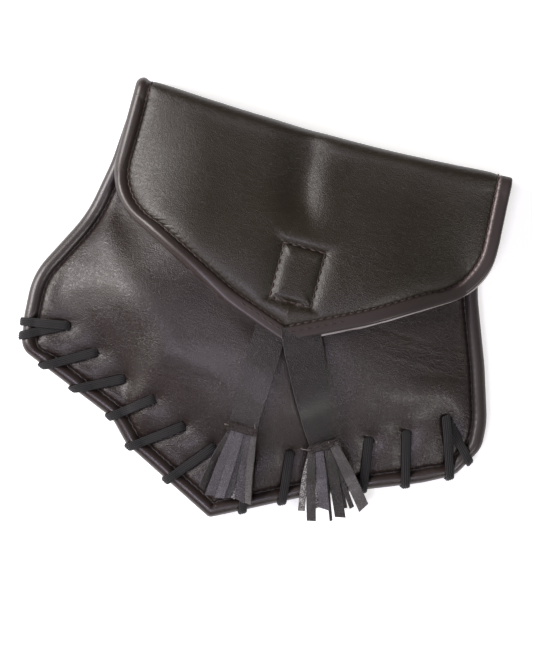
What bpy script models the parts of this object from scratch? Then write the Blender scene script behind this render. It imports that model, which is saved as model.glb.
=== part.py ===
"""A leather belt pouch that lies on its back, with its flap closed over a hollow pocket.

Metres. +X points to the pouch's right as it is looked at, +Y to its fold, +Z up from the surface
that it lies on. Places on the pouch are given as (across, down): across is X from the pouch's middle
and down is the distance below the line of its fold, so that Y falls as down grows.
"""

import math

import bmesh
import bpy
import numpy as np
from mathutils import Vector
from mathutils.bvhtree import BVHTree

# Body: two panels sewn together along their sides and their pointed foot
BODY_WIDTH = 0.2110
BODY_HEIGHT = 0.1796
PANEL_WALL = 0.0016
BEAD_WIDTH = 0.0062
BEAD_RISE = 0.0031
BEAD_FULLNESS = 2.6
GROOVE_RISE = 0.0022
SEAM_GAP = 0.0004
POCKET_DEPTH = 0.0165
POCKET_SHOULDER = 0.046
POCKET_TOP_SHARE = 0.34
POCKET_FULL_OFFSET = 0.078
MOUTH_OFFSET = 0.0220
BACK_TOP_OFFSET = 0.0100
BACK_BEAD_OFFSET = 0.0300
BODY_SPINE_OFFSET = 0.100

# Flap: one padded sheet that goes over the fold and down the front
FLAP_WIDTH = 0.1740
FLAP_HEIGHT = 0.0960
FLAP_SIDE_OFFSET = 0.0036
FLAP_WALL = 0.0024
FLAP_BEAD = 0.0045
FLAP_LIFT = 0.0029
FLAP_OVERLAP = 0.0150
FLAP_SPINE_OFFSET = 0.0460
FOLD_REACH = 0.0042
FOLD_DIP = 0.0038
INNER_SHARE = 0.25

# Stitched box on the flap, and the fastener behind it
BOX_WIDTH = 0.0186
BOX_HEIGHT = 0.0246
BOX_SIDE_OFFSET = 0.0072
BOX_OFFSET = 0.0661
BOX_GROOVE = 0.0011
BOX_GROOVE_DEPTH = 0.0005
PATCH_MARGIN = 0.0007
PATCH_THICKNESS = 0.0012

# Belt loop on the back panel
LOOP_WIDTH = 0.080
LOOP_WALL = 0.0016
LOOP_TAB = 0.0090
LOOP_RAMP = 0.0060
BELT_SPACE_WIDE = 0.046
BELT_SPACE_DEEP = 0.0050
LOOP_TOP_OFFSET = 0.0270

# Lace through both panels and round the bead of the foot
LACE_WIDTH = 0.0038
LACE_THICKNESS = 0.0013
LACE_GAP = 0.0005
LACE_BEND = 1.3
LACE_CURVE = 0.45
HOLE_RADIUS = 0.0028
DIMPLE_SHARE = 0.60
DIMPLE_RADIUS = 0.0090

# Two straps from under the flap's tip, each with a fringed end
STRAP_LENGTH = 0.0480
STRAP_HIDDEN = 0.0085
STRAP_WIDTH = 0.0134
STRAP_THICKNESS = 0.0010
STRAP_LIFT = 0.0004
STRAP_FEEL = 0.0018
STRAP_RISE_LENGTH = 0.0110
HEAD_LENGTH = 0.0040
HEAD_THICKNESS = 0.0028
FRINGE_LENGTH = 0.0310
FRINGE_THICKNESS = 0.0007
FRINGE_LAYER_STEP = 0.0010
FRINGE_SHIFT = 0.00004
FRINGE_ROOT = 0.0020
FRINGE_DROOP = 0.22

CLEARANCE = 0.0003

# Corners of the body's outline, from the top of its left side round the foot:
# across as a share of half BODY_WIDTH, down as a share of BODY_HEIGHT, and the corner's radius as
# a share of half BODY_WIDTH.
BODY_CORNERS = (
    (-0.778, 0.056, 0.000),
    (-0.787, 0.212, 0.569),
    (-0.848, 0.354, 0.569),
    (-1.004, 0.532, 0.332),
    (-0.994, 0.635, 0.379),
    (-0.970, 0.718, 0.076),
    (-0.526, 0.825, 0.114),
    (-0.441, 0.877, 0.095),
    (-0.025, 1.000, 0.024),
    (0.341, 0.889, 1.137),
    (0.796, 0.783, 0.569),
    (0.926, 0.743, 0.114),
    (1.003, 0.662, 0.114),
    (0.999, 0.598, 0.569),
    (0.926, 0.462, 0.758),
    (0.820, 0.298, 0.569),
    (0.782, 0.189, 0.569),
    (0.778, 0.056, 0.000),
)

# Corners of the flap's outline, likewise, as shares of half FLAP_WIDTH and of FLAP_HEIGHT.
FLAP_CORNERS = (
    (-0.997, 0.000, 0.000),
    (-0.999, 0.560, 0.333),
    (-0.271, 0.894, 0.690),
    (0.061, 1.000, 0.029),
    (0.476, 0.816, 1.379),
    (1.003, 0.527, 0.368),
    (0.972, 0.000, 0.000),
)

# Lace holes, from the right end of the lacing to its left end: across and down as shares of half
# BODY_WIDTH and of BODY_HEIGHT, and the slant of each run from the hole to the edge, in degrees
# from straight down towards the left. The first and last holes hold two turns of the lace.
LACE_HOLES = (
    (0.828, 0.613, (-43.0, -18.0)),
    (0.679, 0.668, (-14.8,)),
    (0.536, 0.708, (-8.0,)),
    (0.389, 0.791, (-8.0,)),
    (0.231, 0.790, (-5.8,)),
    (0.071, 0.824, (-8.0,)),
    (-0.079, 0.826, (40.0,)),
    (-0.227, 0.797, (52.5,)),
    (-0.376, 0.751, (52.6,)),
    (-0.518, 0.723, (62.3,)),
    (-0.660, 0.677, (60.6,)),
    (-0.809, 0.634, (62.0, 79.0)),
)

# Soft folds of the front panel: across and down of the middle as shares of half BODY_WIDTH and
# of BODY_HEIGHT, direction in degrees from across towards down, half length and half width as
# shares of half BODY_WIDTH, and height as a share of POCKET_DEPTH, negative for a dent.
BODY_FOLDS = (
    (-0.68, 0.42, 58.0, 0.20, 0.060, -0.097),
    (-0.60, 0.565, 2.0, 0.30, 0.055, -0.085),
    (0.70, 0.490, -8.0, 0.24, 0.040, -0.067),
    (0.66, 0.555, -12.0, 0.26, 0.055, 0.048),
    (-0.20, 0.640, 20.0, 0.22, 0.080, -0.055),
)

# Soft folds of the flap, likewise, as shares of half FLAP_WIDTH and of FLAP_HEIGHT.
FLAP_FOLDS = (
    (-0.085, 0.26, 84.0, 0.24, 0.085, -0.085),
    (0.060, 0.30, 80.0, 0.22, 0.090, 0.048),
)

# Centre line of each strap below its hidden end: share of STRAP_LENGTH, across as a share of
# STRAP_LENGTH from the flap's tip, width as a share of STRAP_WIDTH.
STRAP_ROWS = {
    "left": (
        (0.00, -0.138, 0.94),
        (0.16, -0.138, 0.99),
        (0.50, -0.140, 1.02),
        (1.00, -0.144, 0.93),
    ),
    "right": (
        (0.00, 0.148, 0.90),
        (0.09, 0.179, 1.10),
        (0.24, 0.242, 1.22),
        (0.52, 0.360, 1.18),
        (0.83, 0.506, 0.98),
        (0.97, 0.590, 0.85),
    ),
}

# Fringe of each tassel: place of the root across the head from -1 to 1, splay in degrees from
# the strap's line towards the left, width as a share of STRAP_WIDTH, share of FRINGE_LENGTH,
# and layer.
FRINGE_ROWS = {
    "left": (
        (-0.74, 20.0, 0.26, 0.98, 0),
        (-0.40, 13.0, 0.28, 1.02, 1),
        (-0.10, 5.0, 0.27, 1.02, 0),
        (0.16, -3.0, 0.28, 0.96, 1),
        (0.46, -11.0, 0.30, 0.97, 0),
        (0.76, -18.5, 0.17, 1.03, 1),
    ),
    "right": (
        (-0.80, 29.0, 0.22, 0.93, 0),
        (-0.56, 21.0, 0.29, 1.04, 1),
        (-0.30, 13.0, 0.27, 0.86, 0),
        (-0.04, 5.5, 0.16, 1.02, 1),
        (0.16, -2.5, 0.30, 1.00, 0),
        (0.42, -11.5, 0.24, 0.90, 1),
        (0.62, -17.5, 0.18, 0.92, 0),
        (0.80, -25.0, 0.30, 1.02, 1),
    ),
}

# Half angle of the fan that the strands of a fringe make, in degrees
FRINGE_SPLAY = 22.0

# How finely the panels are cut into faces
OUTLINE_STEP = 0.001
TURN_WEIGHT = 0.010
BODY_ROWS = 9
BODY_FAN = 36
FLAP_BACK_ROWS = 2
FLAP_FOLD_ROWS = 6
FLAP_ROWS = 5
FLAP_FAN = 30
BEAD_INSETS = (0.0, 0.01, 0.16, 0.50, 0.80, 1.0)
PANEL_SHARES = (0.08, 0.22, 0.42, 0.68, 1.0)
BACK_SHARES = (0.22, 0.50, 1.0)
HOLE_SIDES = 8
LACE_FRONT_SHARES = (0.34, 0.54, 0.72, 0.88)
LACE_WRAP_DEGREES = (0, 40, 75, 105, 140, 180)
LACE_BACK_SHARES = (0.32, 0.64)
LACE_END_SHARES = (0.12,)

COLOURS = {
    "leather": (0.055, 0.040, 0.034, 1.0),
    "strap_leather": (0.080, 0.062, 0.058, 1.0),
    "lace": (0.012, 0.012, 0.013, 1.0),
    "fastener": (0.020, 0.018, 0.018, 1.0),
}


def unit(v):
    """A vector of length one along v."""
    return v / np.linalg.norm(v)


def smooth_step(t):
    """0 below 0, 1 above 1, and level at both ends."""
    t = np.clip(t, 0.0, 1.0)
    return t * t * (3.0 - 2.0 * t)


def rounded_line(corners):
    """The line through corners of (across, down, radius), each inner one turned in an arc."""
    places = np.array([c[:2] for c in corners], float)
    line = [places[0]]
    for before, at, after, radius in zip(
        places, places[1:], places[2:], [c[2] for c in corners[1:-1]]
    ):
        arriving, leaving = unit(at - before), unit(after - at)
        turn = math.atan2(
            arriving[0] * leaving[1] - arriving[1] * leaving[0], arriving @ leaving
        )
        room = 0.48 * min(np.linalg.norm(at - before), np.linalg.norm(after - at))
        tangent = min(radius * math.tan(abs(turn) / 2), room)
        start = at - arriving * tangent
        radius = tangent / math.tan(abs(turn) / 2)
        side = math.copysign(1.0, turn)
        centre = start + side * radius * np.array([-arriving[1], arriving[0]])
        steps = max(2, math.ceil(abs(turn) / math.radians(8)))
        for k in range(steps + 1):
            a = turn * k / steps
            arm = start - centre
            line.append(
                centre
                + np.array(
                    [
                        arm[0] * math.cos(a) - arm[1] * math.sin(a),
                        arm[0] * math.sin(a) + arm[1] * math.cos(a),
                    ]
                )
            )
    line.append(places[-1])
    return np.array(line)


def along(line, count, turn_weight=0.0):
    """count + 1 points of a line, evenly spaced by length, with more of them where it turns."""
    steps = np.diff(line, axis=0)
    lengths = np.linalg.norm(steps, axis=1)
    headings = np.unwrap(np.arctan2(steps[:, 1], steps[:, 0]))
    turns = np.abs(np.diff(headings))
    weights = lengths.copy()
    weights[1:] += turn_weight * turns / 2
    weights[:-1] += turn_weight * turns / 2
    at = np.concatenate([[0.0], np.cumsum(weights)])
    wanted = np.linspace(0.0, at[-1], count + 1)
    return np.column_stack([np.interp(wanted, at, line[:, i]) for i in (0, 1)])


def evenly(line, step):
    """A line's points about a step apart."""
    length = np.linalg.norm(np.diff(line, axis=0), axis=1).sum()
    return along(line, max(2, round(length / step)))


def scaled(corners, half_width, height, shift=0.0):
    """Corners in metres from corners in shares."""
    return [(shift + a * half_width, d * height, r * half_width) for a, d, r in corners]


BODY_LINE = evenly(rounded_line(scaled(BODY_CORNERS, BODY_WIDTH / 2, BODY_HEIGHT)), OUTLINE_STEP)
FLAP_LINE = evenly(
    rounded_line(scaled(FLAP_CORNERS, FLAP_WIDTH / 2, FLAP_HEIGHT, FLAP_SIDE_OFFSET)), OUTLINE_STEP
)


def nearest(line, across, down):
    """Distance of places from a line, and 1 inside it or -1 outside, its inside being to the left."""
    shape = np.shape(across)
    p = np.column_stack([np.ravel(across), np.ravel(down)])
    a, step = line[:-1], np.diff(line, axis=0)
    best, side = np.full(len(p), np.inf), np.ones(len(p))
    for start, leg in zip(a, step):
        t = np.clip((p - start) @ leg / (leg @ leg), 0.0, 1.0)
        away = p - start - t[:, None] * leg
        d = np.hypot(away[:, 0], away[:, 1])
        turn = leg[0] * away[:, 1] - leg[1] * away[:, 0]
        closer = d < best - 1e-12
        side[closer] = np.where(turn[closer] <= 0.0, 1.0, -1.0)
        best = np.minimum(best, d)
    return best.reshape(shape), side.reshape(shape)


def reach(line, across, down):
    """How far in a place is from a whole line, rounded where two sides are equally near.

    A straight side d away gives exactly d, because the sum of step / distance cubed is 2 / d squared.
    """
    shape = np.shape(across)
    p = np.column_stack([np.ravel(across), np.ravel(down)])
    middles = (line[:-1] + line[1:]) / 2
    steps = np.linalg.norm(np.diff(line, axis=0), axis=1)
    total = np.zeros(len(p))
    for middle, step in zip(middles, steps):
        d = np.maximum(np.hypot(*(p - middle).T), step)
        total += step / d**3
    return np.sqrt(2.0 / total).reshape(shape)


BACK_OUTER = SEAM_GAP / 2 + PANEL_WALL
RIM_HEIGHT = SEAM_GAP / 2 + BEAD_RISE + LACE_GAP + LACE_THICKNESS + CLEARANCE / 3
SEAT_HEIGHT = LOOP_WALL + BELT_SPACE_DEEP + BACK_OUTER
FLAP_PAD = FLAP_LIFT - INNER_SHARE * FLAP_WALL


def seam_height(across, down):
    """Height of the surface that parts the two panels: level over the belt loop, low at the rim."""
    near_fold = 1.0 - smooth_step((down - MOUTH_OFFSET) / (POCKET_SHOULDER))
    inside = smooth_step(reach(BODY_LINE, across, down) / (0.7 * POCKET_SHOULDER))
    raised = 1.0 - (1.0 - near_fold) * (1.0 - inside)
    return RIM_HEIGHT + (SEAT_HEIGHT - RIM_HEIGHT) * raised


def folds(rows, across, down, half_width, full_height, shift=0.0):
    """Sum of the soft folds and dents of a table."""
    total = np.zeros(np.shape(across))
    for a, d, degrees, long, wide, height in rows:
        x, y = across - shift - a * half_width, down - d * full_height
        turn = math.radians(degrees)
        run = x * math.cos(turn) + y * math.sin(turn)
        aside = -x * math.sin(turn) + y * math.cos(turn)
        total += height * POCKET_DEPTH * np.exp(
            -((run / (long * half_width)) ** 2) - (aside / (wide * half_width)) ** 2
        )
    return total


def bead(inset, rise, beside):
    """Height of a panel's outer face over its seam, across the rolled edge and the wall beside it."""
    share = np.clip(np.abs(inset / BEAD_WIDTH * 2 - 1), 0.0, 1.0)
    roll = rise * (1.0 - share**BEAD_FULLNESS) ** (1 / BEAD_FULLNESS)
    return np.maximum(roll, np.where(inset > BEAD_WIDTH / 2, beside, 0.0))


def pocket(across, down):
    """Depth of the pocket as if no lace drew the panels together."""
    e = reach(BODY_LINE, across, down) - BEAD_WIDTH
    shoulder = np.sin(np.pi / 2 * np.clip(e / POCKET_SHOULDER, 0.0, 1.0))
    filled = smooth_step(down / POCKET_FULL_OFFSET)
    return POCKET_DEPTH * shoulder * (POCKET_TOP_SHARE + (1 - POCKET_TOP_SHARE) * filled)


def dimples(across, down):
    """Share of the pocket's depth that the lace leaves."""
    left = np.ones(np.shape(across))
    for a, d, _ in LACE_HOLES:
        far = np.hypot(across - a * BODY_WIDTH / 2, down - d * BODY_HEIGHT)
        left *= 1.0 - DIMPLE_SHARE * np.exp(-((far / DIMPLE_RADIUS) ** 2))
    return left


def front_rise(across, down, inset=None):
    """Height of the front panel's outer face over the seam surface."""
    if inset is None:
        inset, _ = nearest(BODY_LINE, across, down)
    inner = smooth_step((reach(BODY_LINE, across, down) - BEAD_WIDTH) / BEAD_WIDTH)
    soft = folds(BODY_FOLDS, across, down, BODY_WIDTH / 2, BODY_HEIGHT) * inner
    return SEAM_GAP / 2 + bead(inset, BEAD_RISE, GROOVE_RISE) + pocket(across, down) * dimples(across, down) + soft


def front_face(across, down, inset=None):
    """Height of the front panel's outer face."""
    return seam_height(across, down) + front_rise(across, down, inset)


def back_face(across, down, inset=None):
    """Height of the back panel's outer face, whose bead fades out under the flap's overlap."""
    if inset is None:
        inset, _ = nearest(BODY_LINE, across, down)
    rolled = smooth_step((down - BACK_BEAD_OFFSET) / (3 * BEAD_WIDTH))
    rise = PANEL_WALL + (BEAD_RISE - PANEL_WALL) * rolled
    return seam_height(across, down) - SEAM_GAP / 2 - bead(inset, rise, PANEL_WALL)


def cover(across, down):
    """Smooth surface that lies on the front panel and its bead, and droops past the edge."""
    inset, side = nearest(BODY_LINE, across, down)
    lying = SEAM_GAP / 2 + GROOVE_RISE + pocket(across, down)
    beads = SEAM_GAP / 2 + BEAD_RISE
    raised = (lying**4 + beads**4) ** 0.25
    outside = np.where(side < 0, inset, 0.0)
    past = np.where(side < 0, beads - FRINGE_DROOP * outside, raised)
    return np.where(side < 0, RIM_HEIGHT, seam_height(across, down)) + past


def flap_sheet(across, down):
    """Height of the flap's working surface over the front, a lift above what it lies on."""
    lying = SEAM_GAP / 2 + GROOVE_RISE + pocket(across, down)
    beads = SEAM_GAP / 2 + BEAD_RISE
    raised = (lying**3 + beads**3) ** (1 / 3)
    soft = folds(FLAP_FOLDS, across, down, FLAP_WIDTH / 2, FLAP_HEIGHT, FLAP_SIDE_OFFSET)
    return seam_height(across, down) + raised + FLAP_LIFT + soft


def fold_line(across):
    """How far the top of the fold dips below its ends."""
    share = (across - FLAP_SIDE_OFFSET) / (FLAP_WIDTH / 2)
    return FOLD_DIP * np.clip(1.0 - share**2, 0.0, 1.0)


FOLD_START = FOLD_REACH + (1 - INNER_SHARE) * FLAP_WALL
FOLD_ARC = np.pi * (FOLD_REACH + POCKET_DEPTH * POCKET_TOP_SHARE) / 2


def flap_place(across, down):
    """A place of the flap in space, where down runs on past the fold to its back as negative.

    Below FOLD_START it lies on the front, over the next FOLD_ARC it turns, and then it runs down
    the back panel.
    """
    across, down = np.asarray(across, float), np.asarray(down, float)
    start = fold_line(across) + FOLD_START
    over_front = np.maximum(down, FOLD_START) + fold_line(across) * np.exp(
        -np.maximum(down - FOLD_START, 0.0) / FOLD_START
    )
    top = flap_sheet(across, over_front)
    front_start = flap_sheet(across, start)
    under = (
        seam_height(across, start) - BACK_OUTER - CLEARANCE - INNER_SHARE * FLAP_WALL
    )
    turned = np.clip((FOLD_START - down) / FOLD_ARC, 0.0, 1.0) * np.pi
    behind = np.maximum(FOLD_START - FOLD_ARC - down, 0.0)
    middle, half = (front_start + under) / 2, (front_start - under) / 2
    height = np.where(down >= FOLD_START, top, middle + half * np.cos(turned))
    place = np.where(
        down >= FOLD_START, over_front, start - FOLD_REACH * np.sin(turned) + behind
    )
    return np.stack([across, -place, height], axis=-1)


def side_at(line, down, left):
    """Across of a line's left or right side at a row of downs."""
    foot = int(np.argmax(line[:, 1]))
    side = line[: foot + 1] if left else line[foot:][::-1]
    return np.interp(down, side[:, 1], side[:, 0])


def fan_part(line, down):
    """The part of a line below down, with its ends at down."""
    inside = line[line[:, 1] > down]
    ends = [(side_at(line, down, left), down) for left in (True, False)]
    return np.vstack([ends[0], inside, ends[1]])


def ray_grid(line, rows, spine_down, fan_count, insets, shares, middle):
    """Places on rays from an outline to a spine down its middle, and each place's inset.

    Above spine_down the rays are level, at the downs in rows, and below it they fan out from
    the spine's foot. Each ray has the places of insets, in metres from the edge, and then shares
    of what is left of it.
    """
    left = np.column_stack([side_at(line, rows, True), rows])
    right = np.column_stack([side_at(line, rows, False), rows])
    fan = along(fan_part(line, spine_down), fan_count, TURN_WEIGHT)
    edge = np.vstack([left, fan, right[::-1]])
    spine = np.column_stack([np.full(len(edge), middle), np.minimum(edge[:, 1], spine_down)])
    ahead = np.gradient(edge, axis=0)
    inward = np.column_stack([ahead[:, 1], -ahead[:, 0]])
    inward /= np.linalg.norm(inward, axis=1)[:, None]
    ray = spine - edge
    length = np.linalg.norm(ray, axis=1)
    slope = np.clip(np.sum(ray / length[:, None] * inward, axis=1), 0.5, 1.0)
    grid, inset_grid = [], []
    for inset in insets:
        grid.append(edge + ray * (inset / slope / length)[:, None])
        inset_grid.append(np.full(len(edge), inset))
    rim = grid[-1]
    for share in shares:
        grid.append(rim + (spine - rim) * share)
        inset_grid.append(None)
    places = np.stack(grid, axis=1)
    known = np.stack(
        [
            nearest(line, places[:, k, 0], places[:, k, 1])[0] if known is None else known
            for k, known in enumerate(inset_grid)
        ],
        axis=1,
    )
    return places, known


def surface(mesh):
    """The faces of an open sheet, for measuring how high it lies at a place."""
    bm = bmesh.new()
    bm.from_mesh(mesh)
    tree = BVHTree.FromBMesh(bm)
    bm.free()
    return tree


def level_over(tree, place, radius, top=True):
    """The highest level of a sheet within a radius of a place, or its lowest where top is False."""
    levels = []
    start, way = (1.0, -1.0) if top else (-1.0, 1.0)
    for k in range(13):
        angle = k * 2 * math.pi / 6
        far = 0.0 if k == 12 else radius * (1.0 if k < 6 else 0.55)
        across = place[0] + far * math.cos(angle)
        down = place[1] + far * math.sin(angle)
        hit = tree.ray_cast(Vector((across, -down, start)), Vector((0.0, 0.0, way)))[0]
        if hit is not None:
            levels.append(hit.z)
    if not levels:
        return None
    return max(levels) if top else min(levels)


def material(name):
    """A plain shader of one of the pouch's finishes."""
    made = bpy.data.materials.get(name)
    if made is None:
        made = bpy.data.materials.new(name)
        made.use_nodes = True
        shader = made.node_tree.nodes["Principled BSDF"]
        shader.inputs["Base Color"].default_value = COLOURS[name]
        shader.inputs["Roughness"].default_value = 0.9 if name == "lace" else 0.45
        shader.inputs["Metallic"].default_value = 0.0
    return made


def collection(name):
    """A collection of the scene, made on its first use."""
    found = bpy.data.collections.get(name)
    if found is None:
        found = bpy.data.collections.new(name)
        bpy.context.scene.collection.children.link(found)
    return found


def grid_mesh(name, points, closed=False):
    """A mesh of an array of rows by columns of points, made from Blender's grid.

    Points that coincide become one. Where closed, the last column joins the first, so that the
    rows are rings, and both ends are capped.
    """
    rows, columns = points.shape[:2]
    if closed:
        points = np.concatenate([points, points[:, :1]], axis=1)
        columns += 1
    bm = bmesh.new()
    bmesh.ops.create_grid(bm, x_segments=rows - 1, y_segments=columns - 1, size=1.0)
    for vertex in bm.verts:
        i = round((vertex.co.x + 1) / 2 * (rows - 1))
        k = round((vertex.co.y + 1) / 2 * (columns - 1))
        vertex.co = points[i, k]
    bmesh.ops.remove_doubles(bm, verts=bm.verts, dist=2e-5)
    if closed:
        rims = [e for e in bm.edges if e.is_boundary]
        bmesh.ops.holes_fill(bm, edges=rims, sides=0)
    bmesh.ops.recalc_face_normals(bm, faces=bm.faces)
    mesh = bpy.data.meshes.new(name)
    bm.to_mesh(mesh)
    bm.free()
    mesh.shade_smooth()
    return mesh


def faces_up(mesh):
    """Turns an open sheet so that its faces look up, on the whole."""
    if sum(face.normal.z * face.area for face in mesh.polygons) < 0:
        mesh.flip_normals()


def add(name, mesh, finish, group="belt_pouch"):
    """An object of a mesh, in a collection and with a finish."""
    made = bpy.data.objects.new(name, mesh)
    collection(group).objects.link(made)
    made.data.materials.append(material(finish))
    return made


def solidify(obj, thickness, offset):
    """Gives an open sheet its wall."""
    wall = obj.modifiers.new("wall", "SOLIDIFY")
    wall.thickness = thickness
    wall.offset = offset
    wall.use_even_offset = True
    wall.thickness_clamp = 0.0
    return wall


def cut(obj, cutter):
    """Cuts a piece with a cutter, which isn't part of the pouch."""
    cutter.hide_render = True
    cutter.display_type = "WIRE"
    boolean = obj.modifiers.new("cut", "BOOLEAN")
    boolean.operation = "DIFFERENCE"
    boolean.object = cutter


def union(obj, other):
    """Joins a piece with another into one body."""
    other.hide_render = True
    other.display_type = "WIRE"
    boolean = obj.modifiers.new("join", "BOOLEAN")
    boolean.operation = "UNION"
    boolean.object = other


def lace_hole_cutter(name):
    """Upright rods through both panels where the lace goes."""
    bm = bmesh.new()
    for a, d, _ in LACE_HOLES:
        made = bmesh.ops.create_cone(
            bm,
            cap_ends=True,
            segments=HOLE_SIDES,
            radius1=HOLE_RADIUS,
            radius2=HOLE_RADIUS,
            depth=2 * (POCKET_DEPTH + SEAT_HEIGHT),
        )
        bmesh.ops.translate(
            bm, verts=made["verts"], vec=(a * BODY_WIDTH / 2, -d * BODY_HEIGHT, SEAT_HEIGHT)
        )
    mesh = bpy.data.meshes.new(name)
    bm.to_mesh(mesh)
    bm.free()
    return add(name, mesh, "leather", "cutters")


def make_front_panel(holes):
    """The front of the pocket: a domed wall with a rolled edge, open at its mouth."""
    rows = np.linspace(MOUTH_OFFSET, BODY_SPINE_OFFSET, BODY_ROWS + 1)[:-1]
    places, insets = ray_grid(
        BODY_LINE,
        rows,
        BODY_SPINE_OFFSET,
        BODY_FAN,
        np.array(BEAD_INSETS) * BEAD_WIDTH,
        PANEL_SHARES,
        0.0,
    )
    x, down = places[..., 0], places[..., 1]
    mesh = grid_mesh("front_panel", np.stack([x, -down, front_face(x, down, insets)], axis=-1))
    faces_up(mesh)
    panel = add("front_panel", mesh, "leather")
    outside = surface(mesh)
    solidify(panel, PANEL_WALL, -1.0)
    cut(panel, holes)
    return outside


def make_back_panel(holes):
    """The back of the pocket, which goes up inside the fold."""
    rows = np.linspace(0.0, 1.0, BODY_ROWS + 2)[:-1]
    rows = BACK_TOP_OFFSET + (BODY_SPINE_OFFSET - BACK_TOP_OFFSET) * rows
    places, insets = ray_grid(
        BODY_LINE,
        rows,
        BODY_SPINE_OFFSET,
        BODY_FAN,
        np.array(BEAD_INSETS) * BEAD_WIDTH,
        BACK_SHARES,
        0.0,
    )
    x, down = places[..., 0], places[..., 1]
    mesh = grid_mesh("back_panel", np.stack([x, -down, back_face(x, down, insets)], axis=-1))
    faces_up(mesh)
    panel = add("back_panel", mesh, "leather")
    outside = surface(mesh)
    solidify(panel, PANEL_WALL, 1.0)
    cut(panel, holes)
    return outside


def box_groove_cutter(outside):
    """A frame that presses the line of the stitched box into the flap."""
    corners = [(-1, -1), (1, -1), (1, 1), (-1, 1), (-1, -1)]
    steps = 5
    path = []
    for start, end in zip(corners, corners[1:]):
        for k in range(steps):
            path.append(np.array(start) + (np.array(end) - np.array(start)) * k / steps)
    path = np.array(path)
    sections = []
    for half_step, level in ((-1, -1), (1, -1), (1, 3), (-1, 3)):
        half = np.array([BOX_WIDTH, BOX_HEIGHT]) / 2 + half_step * BOX_GROOVE / 2
        x = BOX_SIDE_OFFSET + path[:, 0] * half[0]
        down = BOX_OFFSET + path[:, 1] * half[1]
        outer = (1 - INNER_SHARE) * FLAP_WALL
        felt = [level_over(outside, spot, BOX_GROOVE) for spot in zip(x, down)]
        z = np.array(felt) + outer + level * BOX_GROOVE_DEPTH
        sections.append(np.column_stack([x, -down, z]))
    ring = np.stack(sections, axis=1)
    ring = np.concatenate([ring, ring[:1]], axis=0)
    ring = np.concatenate([ring, ring[:, :1]], axis=1)
    return add("box_groove", grid_mesh("box_groove", ring), "leather", "cutters")


def flap_edge():
    """The flap's outline laid out flat, from the end of its back overlap on the left to the right."""
    low = FOLD_START - FOLD_ARC - FLAP_OVERLAP
    turned = np.linspace(0.0, FOLD_ARC, FLAP_FOLD_ROWS + 1)
    rows = np.concatenate(
        [
            np.linspace(low, FOLD_START - FOLD_ARC, FLAP_BACK_ROWS + 1)[:-1],
            FOLD_START - turned[::-1],
            np.linspace(FOLD_START, FLAP_SPINE_OFFSET, FLAP_ROWS + 1)[1:-1],
        ]
    )
    return rows


def make_flap():
    """The padded flap with a rolled edge, folded over the top and caught behind the back panel."""
    rows = flap_edge()
    line = np.vstack([[FLAP_LINE[0, 0], rows[0]], FLAP_LINE, [FLAP_LINE[-1, 0], rows[0]]])
    places, insets = ray_grid(
        line,
        rows,
        FLAP_SPINE_OFFSET,
        FLAP_FAN,
        np.array(BEAD_INSETS) * BEAD_WIDTH,
        PANEL_SHARES,
        FLAP_SIDE_OFFSET,
    )
    x, down = places[..., 0], places[..., 1]
    mesh = grid_mesh("flap", flap_place(x, down))
    flap = add("flap", mesh, "leather")
    faces_up(mesh)
    outside = surface(mesh)
    edge_inset, edge_down = nearest_edge_values(mesh, x, down, insets)
    bulge = np.sqrt(np.clip(1.0 - (edge_inset / BEAD_WIDTH * 2 - 1) ** 2, 0.0, 1.0))
    rolled = np.where(edge_inset < BEAD_WIDTH, bulge, 0.0)
    rolled *= smooth_step((edge_down - (FOLD_START - FOLD_ARC)) / (FOLD_ARC / 2))
    wanted = FLAP_WALL + (FLAP_BEAD - FLAP_WALL) * rolled
    group = flap.vertex_groups.new(name="thickness")
    for index, value in enumerate(wanted / FLAP_BEAD):
        group.add([index], float(value), "REPLACE")
    wall = solidify(flap, FLAP_BEAD, 1.0 - 2 * INNER_SHARE)
    wall.vertex_group = "thickness"
    cut(flap, box_groove_cutter(outside))


def nearest_edge_values(mesh, x, down, insets):
    """The inset and the down of each vertex of the flap's mesh, found again by its place."""
    placed = flap_place(x, down).reshape(-1, 3)
    at = {tuple(np.round(p, 5)): i for i, p in enumerate(placed)}
    found = []
    for vertex in mesh.vertices:
        key = tuple(np.round(np.array(vertex.co), 5))
        index = at.get(key)
        if index is None:
            index = int(np.argmin(((placed - np.array(vertex.co)) ** 2).sum(axis=1)))
        found.append(index)
    return insets.ravel()[found], down.ravel()[found]


def strip_places(centres, widths, columns):
    """Places across a flat strip of given widths along centres of (across, down)."""
    centres, widths = np.array(centres, float), np.array(widths, float)
    heading = np.gradient(centres, axis=0)
    heading /= np.linalg.norm(heading, axis=1)[:, None]
    aside = np.column_stack([heading[:, 1], -heading[:, 0]])
    shares = np.linspace(-0.5, 0.5, columns + 1)
    return centres[:, None, :] + aside[:, None, :] * widths[:, None, None] * shares[None, :, None]


def lying_level(front, places):
    """How high a thing lies on the pouch's front at an array of places."""
    levels = cover(places[..., 0], places[..., 1])
    found = [level_over(front, spot, STRAP_FEEL) for spot in places.reshape(-1, 2)]
    felt = np.array([level if level is not None else -1.0 for level in found])
    return np.maximum(levels, felt.reshape(levels.shape))


def make_strip(name, places, levels, thickness, finish, group="belt_pouch"):
    """A flat strip over an array of places, its underside at the levels."""
    x, down = places[..., 0], places[..., 1]
    levels = np.broadcast_to(levels, x.shape)
    mesh = grid_mesh(name, np.stack([x, -down, levels], axis=-1))
    faces_up(mesh)
    strip = add(name, mesh, finish, group)
    solidify(strip, thickness, 1.0)
    return strip


def flap_tip():
    """Where the flap's edge is lowest."""
    return FLAP_LINE[int(np.argmax(FLAP_LINE[:, 1]))]


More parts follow.
